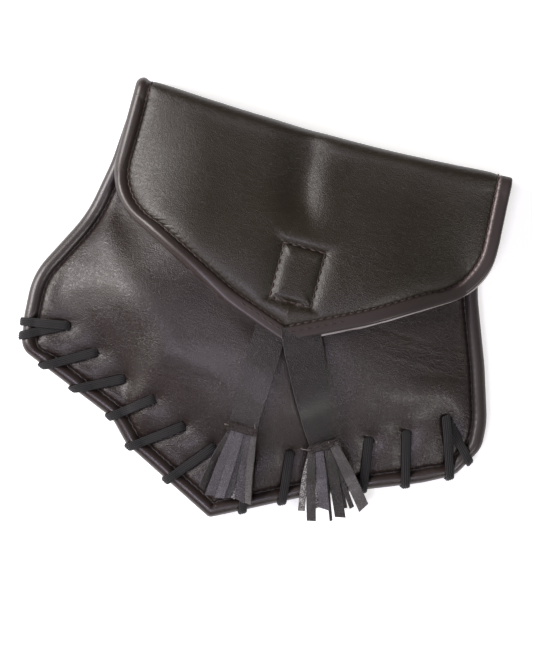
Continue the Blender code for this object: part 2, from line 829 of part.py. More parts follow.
def strap_line(side, count=12):
    """Centre line and widths of a strap, smooth through the rows of its table."""
    rows = np.array(STRAP_ROWS[side])
    tip = flap_tip()
    downs = np.linspace(0.0, rows[-1, 0], count)
    across = np.interp(downs, rows[:, 0], rows[:, 1])
    widths = np.interp(downs, rows[:, 0], rows[:, 2])
    centres = np.column_stack(
        [tip[0] + across * STRAP_LENGTH, tip[1] - STRAP_HIDDEN + downs * STRAP_LENGTH]
    )
    return centres, widths * STRAP_WIDTH


HEAD_LIFT = LACE_GAP + LACE_THICKNESS + 2 * CLEARANCE


def make_strap(side, front):
    """A strap from its hidden end under the flap to its fringed end, where it rises to the head."""
    centres, widths = strap_line(side)
    places = strip_places(centres, widths, 2)
    gone = np.concatenate([[0.0], np.cumsum(np.linalg.norm(np.diff(centres, axis=0), axis=1))])
    rising = smooth_step(1.0 - (gone[-1] - gone) / STRAP_RISE_LENGTH)
    high = HEAD_LIFT + (HEAD_THICKNESS - STRAP_THICKNESS) / 2 - STRAP_LIFT
    levels = lying_level(front, places) + STRAP_LIFT + (high * rising)[:, None]
    make_strip("strap_" + side, places, levels, STRAP_THICKNESS, "strap_leather")


def tassel_levels(front, end, ahead, aside, width):
    """Distances ahead of a tassel's head and how high the pouch stands under each of them."""
    ahead_by = np.concatenate([[-HEAD_LENGTH, 0.0], np.linspace(0.0, 1.1 * FRINGE_LENGTH, 6)[1:]])
    spread = math.tan(math.radians(FRINGE_SPLAY))
    levels = []
    for far in ahead_by:
        half = width / 2 + max(far, 0.0) * spread
        spots = [end + ahead * far + aside * half * share for share in (-1, -0.5, 0, 0.5, 1)]
        levels.append(lying_level(front, np.array(spots)[:, None, :]).max())
    return ahead_by, np.array(levels)


def make_tassel(side, front):
    """The sewn head at a strap's end with its cut fringe, as one body.

    The head and all the strands lie on one surface that only changes along the strap, so that
    strands of two layers never meet.
    """
    centres, widths = strap_line(side)
    ahead = unit(centres[-1] - centres[-2])
    aside = np.array([ahead[1], -ahead[0]])
    start = centres[-1] + ahead * CLEARANCE
    end = start + ahead * HEAD_LENGTH
    width = widths[-1]
    knots, levels = tassel_levels(front, end, ahead, aside, width)
    places = strip_places([start, (start + end) / 2, end], [width, width, 0.94 * width], 2)
    lying = np.interp([-HEAD_LENGTH, -HEAD_LENGTH / 2, 0.0], knots, levels)[:, None]
    head = make_strip(
        "tassel_" + side, places, lying + HEAD_LIFT, HEAD_THICKNESS, "strap_leather"
    )
    for k, (root, splay, wide, long, layer) in enumerate(FRINGE_ROWS[side]):
        turn = math.radians(splay)
        heading = ahead * math.cos(turn) - aside * math.sin(turn)
        strand_width = wide * STRAP_WIDTH
        begin = end + aside * root * (width - strand_width) / 2
        far = long * FRINGE_LENGTH * math.cos(turn)
        stops = [-FRINGE_ROOT, *[knot for knot in knots if -1e-6 < knot < far - 1e-3], far]
        line = np.array([begin + heading * stop / math.cos(turn) for stop in stops])
        across = aside * strand_width / 2 / math.cos(turn)
        lift = HEAD_LIFT + CLEARANCE + layer * FRINGE_LAYER_STEP + k * FRINGE_SHIFT
        strand = make_strip(
            f"strand_{side}_{k}",
            np.stack([line - across, line + across], axis=1),
            (np.interp(stops, knots, levels) + lift)[:, None],
            FRINGE_THICKNESS,
            "strap_leather",
            "joined",
        )
        union(head, strand)


def make_closure_patch(front):
    """The fastener between the flap and the front panel, behind the stitched box."""
    half = BOX_HEIGHT / 2 + PATCH_MARGIN
    shares = np.linspace(-1.0, 1.0, 6)
    centres = [(BOX_SIDE_OFFSET, BOX_OFFSET + share * half) for share in shares]
    places = strip_places(centres, [BOX_WIDTH + 2 * PATCH_MARGIN] * len(shares), 4)
    levels = lying_level(front, places) + STRAP_LIFT
    make_strip("closure_patch", places, levels, PATCH_THICKNESS, "fastener")


def make_belt_loop():
    """A band sewn to the back panel at both ends, with room for a belt between them."""
    against = SEAT_HEIGHT - BACK_OUTER - CLEARANCE
    profile = [
        (0.0, against),
        (LOOP_TAB, against),
        (LOOP_TAB + LOOP_RAMP, LOOP_WALL),
        (LOOP_TAB + LOOP_RAMP + BELT_SPACE_WIDE, LOOP_WALL),
        (LOOP_TAB + 2 * LOOP_RAMP + BELT_SPACE_WIDE, against),
        (2 * LOOP_TAB + 2 * LOOP_RAMP + BELT_SPACE_WIDE, against),
    ]
    points = np.array(
        [
            [(side * LOOP_WIDTH / 2, -LOOP_TOP_OFFSET - run, height) for run, height in profile]
            for side in (-1, 1)
        ]
    )
    mesh = grid_mesh("belt_loop", points)
    faces_up(mesh)
    loop = add("belt_loop", mesh, "leather")
    solidify(loop, LOOP_WALL, -1.0)
    return loop


def edge_hit(hole, slant):
    """Where a run at a slant from a hole meets the body's outline, and the way out there."""
    turn = math.radians(slant)
    run = np.array([-math.sin(turn), math.cos(turn)])
    far = BODY_LINE - hole
    along_run = far @ run
    aside = np.abs(far @ np.array([run[1], -run[0]]))
    ahead = np.where(along_run > 0, aside, np.inf)
    i = int(np.argmin(ahead))
    i = min(max(i, 1), len(BODY_LINE) - 2)
    leg = BODY_LINE[i + 1] - BODY_LINE[i - 1]
    outward = unit(np.array([-leg[1], leg[0]]))
    return BODY_LINE[i], outward, run


def lace_turns():
    """Each turn of the lace: its hole, its way out to the edge, and how it shares its hole."""
    turns = []
    for a, d, slants in LACE_HOLES:
        hole = np.array([a * BODY_WIDTH / 2, d * BODY_HEIGHT])
        runs = [np.array([-math.sin(math.radians(k)), math.cos(math.radians(k))]) for k in slants]
        shared = unit(sum(runs))
        for nth, slant in enumerate(slants):
            edge, outward, run = edge_hit(hole, slant)
            apart = 0.0 if len(slants) == 1 else (nth - 0.5) * (LACE_THICKNESS + CLEARANCE)
            others = [k for k in slants if k != slant]
            spread = math.radians(abs(slant - others[0])) if others else 0.0
            turns.append((hole, edge, outward, run, shared, apart, nth, spread))
    return turns


def below(index, turns):
    """How far a turn goes under the one before it, behind a hole that both come up through."""
    doubled = turns[index][6] > 0 and index > 1
    return LACE_THICKNESS + CLEARANCE if doubled else 0.0


def lace_path(front, back):
    """Points along the lace and which way its flat side looks at each of them.

    Each turn comes up through a hole, runs to the edge, goes round the bead and back behind to
    the next hole. A second turn through the same hole lies on the first one.
    """
    turns = lace_turns()
    rise = LACE_GAP + LACE_THICKNESS / 2
    around = BEAD_RISE + SEAM_GAP / 2 + rise
    bend = LACE_BEND * LACE_THICKNESS
    points, looks = [], []

    def put(place, level, across, down, up):
        points.append((place[0], -place[1], float(level)))
        looks.append((across, -down, up))

    coming = None
    for index, (hole, edge, outward, run, shared, apart, nth, spread) in enumerate(turns):
        stack = nth * (LACE_THICKNESS + 2 * CLEARANCE)
        axis = hole - shared * apart
        feel = LACE_WIDTH / 2 + CLEARANCE
        if coming is None:
            put(axis, float(seam_height(*hole)) + bend, *-shared, 0.0)
        else:
            rim = hole - coming * HOLE_RADIUS
            level = level_over(back, rim, feel, top=False) - rise - below(index, turns)
            put(axis - coming * 2 * bend, level, 0.0, 0.0, -1.0)
            put(axis - coming * bend, level, 0.0, 0.0, -1.0)
            put(axis - coming * bend / 3, level + bend / 3, *coming, -1.0)
            put(axis, level + bend, *unit(coming - shared), 0.0)
        level = level_over(front, hole + run * HOLE_RADIUS, feel) + rise + stack
        put(axis, level - bend, *-shared, 0.0)
        put(axis + run * bend / 3, level - bend / 3, *-run, 1.0)
        put(axis + run * bend, level, 0.0, 0.0, 1.0)
        slope = max(float(run @ outward), 0.5)
        apex = edge + run * (around - BEAD_WIDTH / 2) / slope
        over = apex - run * around / slope
        length = np.linalg.norm(over - hole)
        for share in LACE_FRONT_SHARES:
            place = hole + (over - hole) * share
            aside = share * length * math.tan(spread)
            lying = smooth_step((LACE_WIDTH + 3 * CLEARANCE - aside) / LACE_WIDTH * 3)
            level = level_over(front, place, feel) + rise
            put(place, level + stack * lying, 0.0, 0.0, 1.0)
        last = index + 1 == len(turns)
        following = turns[index] if last else turns[index + 1]
        goal = following[0]
        onward = unit(goal - apex)
        back_slope = max(float(-onward @ outward), 0.5)
        seam = float(seam_height(*edge))
        for degrees in LACE_WRAP_DEGREES:
            turn = math.radians(degrees)
            left = 1.0 - math.sin(turn)
            if degrees <= 90:
                place = apex - run * around / slope * left
            else:
                place = apex + onward * around / back_slope * left
            out = outward * math.sin(turn)
            put(place, seam + around * math.cos(turn), *out, math.cos(turn))
        under = apex + onward * around / back_slope
        coming = -following[4] if following[7] > 0 and not last else onward
        pull = goal - coming * LACE_CURVE * np.linalg.norm(goal - under)
        end = goal - coming * 3 * bend
        for share in LACE_END_SHARES if last else LACE_BACK_SHARES:
            place = (
                under * (1 - share) ** 2 + pull * 2 * share * (1 - share) + end * share**2
            )
            lower = 0.0 if last else below(index + 1, turns) * smooth_step(3 * share - 0.6)
            level = level_over(back, place, feel, top=False) - rise
            put(place, level - lower, 0.0, 0.0, -1.0)
    return np.array(points), np.array(looks)


def make_lacing(front, back):
    """The one flat lace, swept along its path with its flat side to the leather."""
    points, looks = lace_path(front, back)
    ahead = np.gradient(points, axis=0)
    ahead /= np.linalg.norm(ahead, axis=1)[:, None]
    aside = np.cross(ahead, looks)
    aside /= np.linalg.norm(aside, axis=1)[:, None]
    up = np.cross(aside, ahead)
    wide, thick = LACE_WIDTH / 2, LACE_THICKNESS / 2
    section = ((-1.0, 0.0), (-0.7, -1.0), (0.7, -1.0), (1.0, 0.0), (0.7, 1.0), (-0.7, 1.0))
    rings = np.stack(
        [points + aside * a * wide + up * b * thick for a, b in section], axis=1
    )
    add("lacing", grid_mesh("lacing", rings, closed=True), "lace")


def rest_on_the_origin():
    """Moves everything so that the origin is under the middle of the pouch, at its lowest level."""
    graph = bpy.context.evaluated_depsgraph_get()
    corners = []
    for piece in collection("belt_pouch").objects:
        shown = piece.evaluated_get(graph)
        corners += [np.array(v.co) for v in shown.to_mesh().vertices]
        shown.to_mesh_clear()
    corners = np.array(corners)
    low, high = corners.min(axis=0), corners.max(axis=0)
    shift = np.array([(low[0] + high[0]) / 2, (low[1] + high[1]) / 2, low[2]])
    for piece in bpy.data.objects:
        piece.location = -shift
    return shift


def main():
    for old in list(bpy.data.objects):
        bpy.data.objects.remove(old)
    holes = lace_hole_cutter("lace_holes")
    back = make_back_panel(holes)
    front = make_front_panel(holes)
    make_belt_loop()
    make_closure_patch(front)
    make_flap()
    for side in ("left", "right"):
        make_strap(side, front)
        make_tassel(side, front)
    make_lacing(front, back)
    bpy.context.view_layer.update()
    rest_on_the_origin()


main()
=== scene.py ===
"""The looks of a leather belt pouch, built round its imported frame.

Metres. Places on the pouch are (across, down): across is X from the pouch's middle, and down is the
distance below the line of its fold. The outlines and surfaces follow the formulas of the CAD, and
finer folds, gathers, seams and dents are added to them.
"""

import math

import bmesh
import bpy
import numpy as np
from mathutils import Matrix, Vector
from mathutils.bvhtree import BVHTree


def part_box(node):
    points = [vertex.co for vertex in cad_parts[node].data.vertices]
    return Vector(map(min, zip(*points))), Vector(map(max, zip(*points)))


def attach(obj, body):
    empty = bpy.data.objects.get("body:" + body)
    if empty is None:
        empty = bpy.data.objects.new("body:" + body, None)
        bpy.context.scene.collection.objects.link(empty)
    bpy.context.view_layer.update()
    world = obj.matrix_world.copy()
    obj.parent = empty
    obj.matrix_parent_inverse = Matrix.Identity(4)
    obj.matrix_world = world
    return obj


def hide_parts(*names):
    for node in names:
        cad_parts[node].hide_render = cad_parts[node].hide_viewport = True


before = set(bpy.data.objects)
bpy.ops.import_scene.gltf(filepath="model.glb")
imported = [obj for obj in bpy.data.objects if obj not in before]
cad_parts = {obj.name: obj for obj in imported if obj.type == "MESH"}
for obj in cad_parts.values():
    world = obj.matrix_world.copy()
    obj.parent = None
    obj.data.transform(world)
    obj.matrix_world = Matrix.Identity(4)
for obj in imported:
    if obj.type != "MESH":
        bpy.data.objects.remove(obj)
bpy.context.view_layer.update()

# The picture: its size in pixels, its scale at the rim, and where the pouch lies in it
IMAGE_HEIGHT = 654
PIXELS_PER_METRE = 2267.2
SCALE_LEVEL = 0.012
PICTURE_TURN = 15.0
PICTURE_ACROSS = 0.0001
PICTURE_DOWN = 0.0916
LENS = 250.0

# Body
BODY_WIDTH = 0.2110
BODY_HEIGHT = 0.1796
PANEL_WALL = 0.0016
BEAD_WIDTH = 0.0062
BEAD_RISE = 0.0031
BEAD_FULLNESS = 1.85
GROOVE_RISE = 0.0022
SEAM_GAP = 0.0004
POCKET_DEPTH = 0.0165
POCKET_SHOULDER = 0.046
POCKET_TOP_SHARE = 0.34
POCKET_FULL_OFFSET = 0.078
MOUTH_OFFSET = 0.0220
BACK_TOP_OFFSET = 0.0100
BACK_BEAD_OFFSET = 0.0300
BODY_SPINE_OFFSET = 0.100

# Flap
FLAP_WIDTH = 0.1740
FLAP_HEIGHT = 0.0960
FLAP_SIDE_OFFSET = 0.0036
FLAP_WALL = 0.0024
FLAP_BEAD = 0.0045
FLAP_LIFT = 0.0029
FLAP_OVERLAP = 0.0150
FLAP_SPINE_OFFSET = 0.0460
FOLD_REACH = 0.0042
FOLD_DIP = 0.0038
FOLD_SQUARE = 0.42
INNER_SHARE = 0.25
FOAM_RISE = 0.0027
SEAM_RISE = 0.0008
LINING_PROUD = 0.0005
LINING_THICKNESS = 0.0007

# Stitched box on the flap, and the fastener behind it
BOX_WIDTH = 0.0186
BOX_HEIGHT = 0.0246
BOX_SIDE_OFFSET = 0.0072
BOX_OFFSET = 0.0661
PATCH_MARGIN = 0.0007
PATCH_THICKNESS = 0.0012

# Belt loop
LOOP_WIDTH = 0.080
LOOP_WALL = 0.0016
LOOP_TAB = 0.0090
LOOP_RAMP = 0.0060
BELT_SPACE_WIDE = 0.046
BELT_SPACE_DEEP = 0.0050
LOOP_TOP_OFFSET = 0.0270

# Lace
LACE_WIDTH = 0.0038
LACE_THICKNESS = 0.0013
LACE_ROOM = 0.0005
LACE_GAP = 0.00025
LACE_BEND = 1.3
LACE_CURVE = 0.45
HOLE_RADIUS = 0.0028
DIMPLE_SHARE = 0.12
DIMPLE_RADIUS = 0.0075
DRAWN_SHARE = 0.30
DRAWN_WIDTH = 0.0105

# Straps and their fringed ends
STRAP_LENGTH = 0.0480
STRAP_HIDDEN = 0.0085
STRAP_WIDTH = 0.0134
STRAP_THICKNESS = 0.0010
STRAP_LIFT = 0.0004
STRAP_RISE_LENGTH = 0.0110
HEAD_LENGTH = 0.0040
HEAD_THICKNESS = 0.0028
FRINGE_THICKNESS = 0.0007
FRINGE_DROOP = 0.22
CLEARANCE = 0.0003

# Thread
STITCH_PITCH = 0.0033
STITCH_LENGTH = 0.0026
THREAD_RADIUS = 0.00030
SEAM_INSET = 0.0030

# Small forms of the leather that only the looks have
SEAM_GROOVE = 0.0007
SEAM_GATHER = 0.00022
LACE_PRESS = 0.0013
LACE_PINCH = 0.00025
HOLE_PRESS = 0.0003
SLOT_LENGTH = 0.0041
DENT_DEPTH = 0.0028
ROOM_UNDER_FLAP = 0.0010
ROOM_BESIDE_FLAP = 0.0030
FOAM_SHOULDER = 0.0032
BOX_DRAWN_INSIDE = 0.0022
BOX_DRAWN_OUTSIDE = 0.0034
BOX_SEAM_RISE = 0.0004

MM = 0.001

# Where the rolled edges turn to flat tape, where the painted highlight on the tape's inner ridge
# begins across and ends down, and where the second stitches at the tip are
FRONT_TAPE_ACROSS = 0.060
FRONT_TAPE_END = 0.120
FLAP_TAPE_ACROSS = -0.030
RIDGE_HIGHLIGHT_ACROSS = 0.060
RIDGE_HIGHLIGHT_END = 0.046
LINING_ACROSS = 0.002
LINING_DOWN = 0.030
TIP_STITCHES_ACROSS = 0.010
TIP_STITCHES_REACH = 0.024

# A full turn in radians, for the waves in finishes
TURN = 6.2832

# Which way is up for a piece on the front, and for one on the back
TO_FRONT = (0.0, 0.0, 1.0)
TO_BACK = (0.0, 0.0, -1.0)

# Corners of the body's outline: across as a share of half BODY_WIDTH, down as a share of
# BODY_HEIGHT, and the corner's radius as a share of half BODY_WIDTH. The first two lie up to
# 1.8 mm further out than the CAD's, where the picture shows the edge flattened.
BODY_CORNERS = (
    (-0.786, 0.056, 0.000),
    (-0.804, 0.212, 0.569),
    (-0.848, 0.354, 0.569),
    (-1.004, 0.532, 0.332),
    (-0.994, 0.635, 0.379),
    (-0.970, 0.718, 0.076),
    (-0.526, 0.825, 0.114),
    (-0.441, 0.877, 0.095),
    (-0.025, 1.000, 0.024),
    (0.341, 0.889, 1.137),
    (0.796, 0.783, 0.569),
    (0.926, 0.743, 0.114),
    (1.003, 0.662, 0.114),
    (0.999, 0.598, 0.569),
    (0.926, 0.462, 0.758),
    (0.820, 0.298, 0.569),
    (0.782, 0.189, 0.569),
    (0.778, 0.056, 0.000),
)

# Corners of the flap's outline, likewise, as shares of half FLAP_WIDTH and of FLAP_HEIGHT.
FLAP_CORNERS = (
    (-0.997, 0.000, 0.000),
    (-0.999, 0.560, 0.333),
    (-0.271, 0.894, 0.690),
    (0.061, 1.000, 0.029),
    (0.476, 0.816, 1.379),
    (1.003, 0.527, 0.368),
    (0.972, 0.000, 0.000),
)

# Lace holes from the right end of the lacing to its left end: across and down as shares of half
# BODY_WIDTH and of BODY_HEIGHT, and the slant of each run from the hole to the edge, in degrees.
LACE_HOLES = (
    (0.828, 0.613, (-43.0, -18.0)),
    (0.679, 0.668, (-14.8,)),
    (0.536, 0.708, (-8.0,)),
    (0.389, 0.791, (-8.0,)),
    (0.231, 0.790, (-5.8,)),
    (0.071, 0.824, (-8.0,)),
    (-0.079, 0.826, (40.0,)),
    (-0.227, 0.797, (52.5,)),
    (-0.376, 0.751, (52.6,)),
    (-0.518, 0.723, (62.3,)),
    (-0.660, 0.677, (60.6,)),
    (-0.809, 0.634, (62.0, 79.0)),
)

# Soft folds of the front panel: across and down of the middle as shares of half BODY_WIDTH and
# of BODY_HEIGHT, direction in degrees from across towards down, half length and half width as
# shares of half BODY_WIDTH, and height as a share of POCKET_DEPTH, negative for a dent.
BODY_FOLDS = (
    (-0.652, 0.420, -74.6, 0.457, 0.142, -0.190),
    (-0.636, 0.669, -32.0, 0.382, 0.134, -0.190),
    (0.667, 0.607, -7.3, 0.320, 0.248, -0.150),
    (0.347, 0.522, -14.0, 0.132, 0.101, 0.085),
    (-0.113, 0.855, 67.9, 0.444, 0.158, -0.190),
    (-0.764, 0.378, 42.3, 0.166, 0.075, 0.190),
    (-0.520, 0.546, 37.3, 0.416, 0.100, 0.163),
    (0.022, 0.538, 67.6, 0.340, 0.126, 0.178),
    (-0.595, 0.738, 50.8, 0.434, 0.075, -0.190),
    (-0.431, 0.738, -87.0, 0.215, 0.079, 0.190),
    (-0.283, 0.533, 15.9, 0.359, 0.127, 0.143),
    (0.573, 0.394, 53.9, 0.283, 0.174, -0.138),
    (0.393, 0.725, 72.0, 0.266, 0.083, -0.170),
    (-0.574, 0.737, -36.5, 0.160, 0.085, -0.189),
    (0.844, 0.562, -81.8, 0.111, 0.076, 0.126),
)

# Smaller creases of the front panel, likewise.
BODY_CREASES = (
    (0.560, 0.445, 4.0, 0.160, 0.010, -0.009),
    (0.700, 0.470, -3.0, 0.130, 0.009, -0.012),
    (0.640, 0.500, 2.0, 0.150, 0.010, 0.010),
    (0.740, 0.520, -9.0, 0.110, 0.009, -0.009),
)

# Soft folds of the flap, likewise, as shares of half FLAP_WIDTH and of FLAP_HEIGHT.
FLAP_FOLDS = (
    (-0.085, 0.26, 84.0, 0.24, 0.085, -0.085),
    (0.060, 0.30, 80.0, 0.22, 0.090, 0.048),
    (-0.950, 0.10, 90.0, 0.25, 0.220, 0.050),
)

# Centre line of each strap below its hidden end: share of STRAP_LENGTH, across as a share of
# STRAP_LENGTH from the flap's tip, width as a share of STRAP_WIDTH.
STRAP_ROWS = {
    "left": (
        (0.00, -0.128, 1.05),
        (0.12, -0.128, 1.05),
        (0.47, -0.131, 1.02),
        (1.00, -0.144, 0.93),
    ),
    "right": (
        (0.00, 0.120, 1.28),
        (0.09, 0.155, 1.30),
        (0.24, 0.229, 1.29),
        (0.52, 0.360, 1.18),
        (0.83, 0.506, 0.98),
        (0.97, 0.590, 0.85),
    ),
}

# Strips of each fringe: place of the root and of the end in millimetres across and down, width in
# millimetres, layer, roll in degrees about the strip's own line, whether its fabric back looks
# up, and its tone in TONES.
FRINGE_STRIPS = {
    "left": (
        ((-3.2, 140.6), (-8.8, 167.9), 3.8, 0, 13.0, False, 0.02),
        ((-1.6, 140.6), (-4.8, 169.8), 4.4, 2, 4.0, False, 0.93),
        ((1.0, 140.6), (-0.5, 169.8), 4.2, 3, -4.0, False, 1.00),
        ((3.2, 140.4), (2.7, 169.1), 3.0, 1, 7.0, False, 0.82),
        ((4.4, 140.4), (4.9, 168.4), 2.6, 0, 0.0, True, 0.50),
        ((5.6, 140.2), (8.2, 168.7), 4.6, 2, 2.0, False, 0.80),
        ((7.2, 140.0), (12.4, 169.1), 3.3, 4, -24.0, False, 0.60),
    ),
    "right": (
        ((33.2, 139.6), (36.0, 166.1), 3.0, 0, 6.0, True, 0.30),
        ((33.4, 139.4), (41.4, 169.2), 4.1, 3, -2.0, False, 0.34),
        ((36.3, 139.0), (42.6, 162.8), 3.0, 1, 8.0, True, 0.30),
        ((36.6, 138.2), (45.5, 162.6), 4.6, 4, -6.0, False, 1.00),
        ((39.3, 137.6), (49.8, 166.9), 1.3, 2, 30.0, False, 0.10),
        ((40.4, 136.8), (53.3, 164.3), 4.6, 3, 4.0, False, 0.30),
        ((42.0, 136.0), (54.5, 159.8), 1.9, 1, -30.0, False, 0.20),
        ((42.6, 135.6), (57.2, 158.9), 2.2, 2, 6.0, False, 0.34),
        ((42.9, 135.0), (62.2, 157.6), 5.2, 5, -9.0, False, 0.60),
    ),
}

# Threads round each sewn head: place as a share of HEAD_LENGTH, pitch and length of the
# stitches, and their turn from the row in radians.
HEAD_THREADS = {
    "left": (
        (-0.26, 0.00046, 0.0019, 1.57),
        (0.17, 0.00055, 0.0015, 1.50),
    ),
    "right": (
        (-0.34, 0.0012, 0.0022, 0.10),
        (-0.10, 0.0013, 0.0022, -0.05),
        (0.20, 0.0012, 0.0020, 0.12),
    ),
}

# How the front's leather moves as cloth while it settles into its small folds
CLOTH = {
    "quality": 6,
    "mass": 0.3,
    "air_damping": 3.0,
    "tension_stiffness": 15.0,
    "compression_stiffness": 15.0,
    "shear_stiffness": 5.0,
    "bending_stiffness": 2.0,
    "shrink_min": -0.010,
    "vertex_group_mass": "held",
}

# The pouch's own place in the frame, found from its belt loop
loop_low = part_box("belt_loop")[0]
loop_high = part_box("belt_loop")[1]
ORIGIN = np.array([(loop_low.x + loop_high.x) / 2, loop_high.y + LOOP_TOP_OFFSET, loop_low.z])

HOLES = np.array([(a * BODY_WIDTH / 2, d * BODY_HEIGHT) for a, d, _ in LACE_HOLES])


def unit(v):
    """Vectors of length one along v."""
    return v / np.linalg.norm(v, axis=-1, keepdims=True)


def smooth_step(t):
    """0 below 0, 1 above 1, and level at both ends."""
    t = np.clip(t, 0.0, 1.0)
    return t * t * (3.0 - 2.0 * t)


def bell(distance, width, power=2):
    """1 at no distance, falling smoothly to 0 over a few widths."""
    return np.exp(-((distance / width) ** power))


def rotated(x, y, angle):
    """A place in axes that are turned by an angle from x towards y."""
    c, s = math.cos(angle), math.sin(angle)
    return x * c + y * s, -x * s + y * c


def gone_along(points):
    """How far along a line each of its points is."""
    return np.concatenate([[0.0], np.cumsum(np.linalg.norm(np.diff(points, axis=0), axis=1))])


def linked(name, data):
    """A new object of some data, in the scene."""
    made = bpy.data.objects.new(name, data)
    bpy.context.scene.collection.objects.link(made)
    return made


def rounded_line(corners):
    """The line through corners of (across, down, radius), each inner one turned in an arc."""
    places = np.array([c[:2] for c in corners], float)
    line = [places[0]]
    for before, at, after, radius in zip(
        places, places[1:], places[2:], [c[2] for c in corners[1:-1]]
    ):
        arriving, leaving = unit(at - before), unit(after - at)
        turn = math.atan2(
            arriving[0] * leaving[1] - arriving[1] * leaving[0], arriving @ leaving
        )
        room = 0.48 * min(np.linalg.norm(at - before), np.linalg.norm(after - at))
        tangent = min(radius * math.tan(abs(turn) / 2), room)
        start = at - arriving * tangent
        radius = tangent / math.tan(abs(turn) / 2)
        side = math.copysign(1.0, turn)
        centre = start + side * radius * np.array([-arriving[1], arriving[0]])
        steps = max(2, math.ceil(abs(turn) / math.radians(4)))
        for k in range(steps + 1):
            line.append(centre + np.array(rotated(*(start - centre), -turn * k / steps)))
    line.append(places[-1])
    return np.array(line)


def along(line, count, turn_weight=0.0):
    """count + 1 points of a line, evenly spaced by length, with more of them where it turns."""
    steps = np.diff(line, axis=0)
    lengths = np.linalg.norm(steps, axis=1)
    headings = np.unwrap(np.arctan2(steps[:, 1], steps[:, 0]))
    turns = np.abs(np.diff(headings))
    weights = lengths.copy()
    weights[1:] += turn_weight * turns / 2
    weights[:-1] += turn_weight * turns / 2
    at = np.concatenate([[0.0], np.cumsum(weights)])
    wanted = np.linspace(0.0, at[-1], count + 1)
    return np.column_stack([np.interp(wanted, at, line[:, i]) for i in (0, 1)])


def evenly(line, step):
    """A line's points about a step apart."""
    length = np.linalg.norm(np.diff(line, axis=0), axis=1).sum()
    return along(line, max(2, round(length / step)))


def scaled(corners, half_width, height, shift=0.0):
    """Corners in metres from corners in shares."""
    return [(shift + a * half_width, d * height, r * half_width) for a, d, r in corners]


BODY_LINE = evenly(rounded_line(scaled(BODY_CORNERS, BODY_WIDTH / 2, BODY_HEIGHT)), MM)
FLAP_LINE = evenly(
    rounded_line(scaled(FLAP_CORNERS, FLAP_WIDTH / 2, FLAP_HEIGHT, FLAP_SIDE_OFFSET)), MM
)


def nearest(line, across, down):
    """Distance of places from a line, and 1 inside it or -1 outside. Its inside is on its left."""
    shape = np.shape(across)
    p = np.column_stack([np.ravel(across), np.ravel(down)])
    best, side = np.full(len(p), np.inf), np.ones(len(p))
    for start, leg in zip(line[:-1], np.diff(line, axis=0)):
        t = np.clip((p - start) @ leg / (leg @ leg), 0.0, 1.0)
        away = p - start - t[:, None] * leg
        d = np.hypot(away[:, 0], away[:, 1])
        turn = leg[0] * away[:, 1] - leg[1] * away[:, 0]
        closer = d < best - 1e-12
        side[closer] = np.where(turn[closer] <= 0.0, 1.0, -1.0)
        best = np.minimum(best, d)
    return best.reshape(shape), side.reshape(shape)


# Reaches found lately, by their places
KEPT_REACHES = 40
reached = {}


def reach(across, down):
    """How far in a place is from the body's line, rounded where two sides are equally near."""
    across, down = np.broadcast_arrays(across, down)
    key = (across.tobytes(), down.tobytes())
    if key not in reached:
        p = np.column_stack([np.ravel(across), np.ravel(down)])
        middles = (BODY_LINE[:-1] + BODY_LINE[1:]) / 2
        steps = np.linalg.norm(np.diff(BODY_LINE, axis=0), axis=1)
        total = np.zeros(len(p))
        for middle, step in zip(middles, steps):
            d = np.maximum(np.hypot(p[:, 0] - middle[0], p[:, 1] - middle[1]), step)
            total += step / d**3
        if len(reached) > KEPT_REACHES:
            reached.clear()
        reached[key] = np.sqrt(2.0 / total).reshape(across.shape)
    return reached[key]


BACK_OUTER = SEAM_GAP / 2 + PANEL_WALL
RIM_HEIGHT = SEAM_GAP / 2 + BEAD_RISE + LACE_ROOM + LACE_THICKNESS + CLEARANCE / 3
SEAT_HEIGHT = LOOP_WALL + BELT_SPACE_DEEP + BACK_OUTER


def seam_height(across, down):
    """Height of the surface that parts the two panels: level over the belt loop, low at the rim."""
    near_fold = 1.0 - smooth_step((down - MOUTH_OFFSET) / POCKET_SHOULDER)
    inside = smooth_step(reach(across, down) / (0.7 * POCKET_SHOULDER))
    raised = 1.0 - (1.0 - near_fold) * (1.0 - inside)
    return RIM_HEIGHT + (SEAT_HEIGHT - RIM_HEIGHT) * raised


def folds(rows, across, down, half_width, full_height, shift=0.0):
    """Sum of the soft folds and dents of a table."""
    total = np.zeros(np.shape(across))
    for a, d, degrees, long, wide, height in rows:
        x, y = across - shift - a * half_width, down - d * full_height
        run, aside = rotated(x, y, math.radians(degrees))
        total += height * POCKET_DEPTH * np.exp(
            -((run / (long * half_width)) ** 2) - (aside / (wide * half_width)) ** 2
        )
    return total


def off_bead(inset):
    """0 along the middle of a rolled edge, and 1 at its sides and past them."""
    return np.clip(np.abs(inset / BEAD_WIDTH * 2 - 1), 0.0, 1.0)


def bead(inset, rise, beside):
    """Height of a panel's outer face over its seam, on the rolled edge and the wall beside it."""
    roll = rise * (1.0 - off_bead(inset) ** BEAD_FULLNESS) ** (1 / BEAD_FULLNESS)
    return np.maximum(roll, np.where(inset > BEAD_WIDTH / 2, beside, 0.0))


def pocket(across, down):
    """Depth of the pocket as if no lace drew the panels together."""
    e = reach(across, down) - BEAD_WIDTH
    shoulder = np.sin(np.pi / 2 * np.clip(e / POCKET_SHOULDER, 0.0, 1.0))
    filled = smooth_step(down / POCKET_FULL_OFFSET)
    return POCKET_DEPTH * shoulder * (POCKET_TOP_SHARE + (1 - POCKET_TOP_SHARE) * filled)


def off_leg(across, down, start, leg):
    """Distance of places from a straight leg."""
    x, y = across - start[0], down - start[1]
    t = np.clip((x * leg[0] + y * leg[1]) / (leg @ leg), 0.0, 1.0)
    return np.hypot(x - t * leg[0], y - t * leg[1])


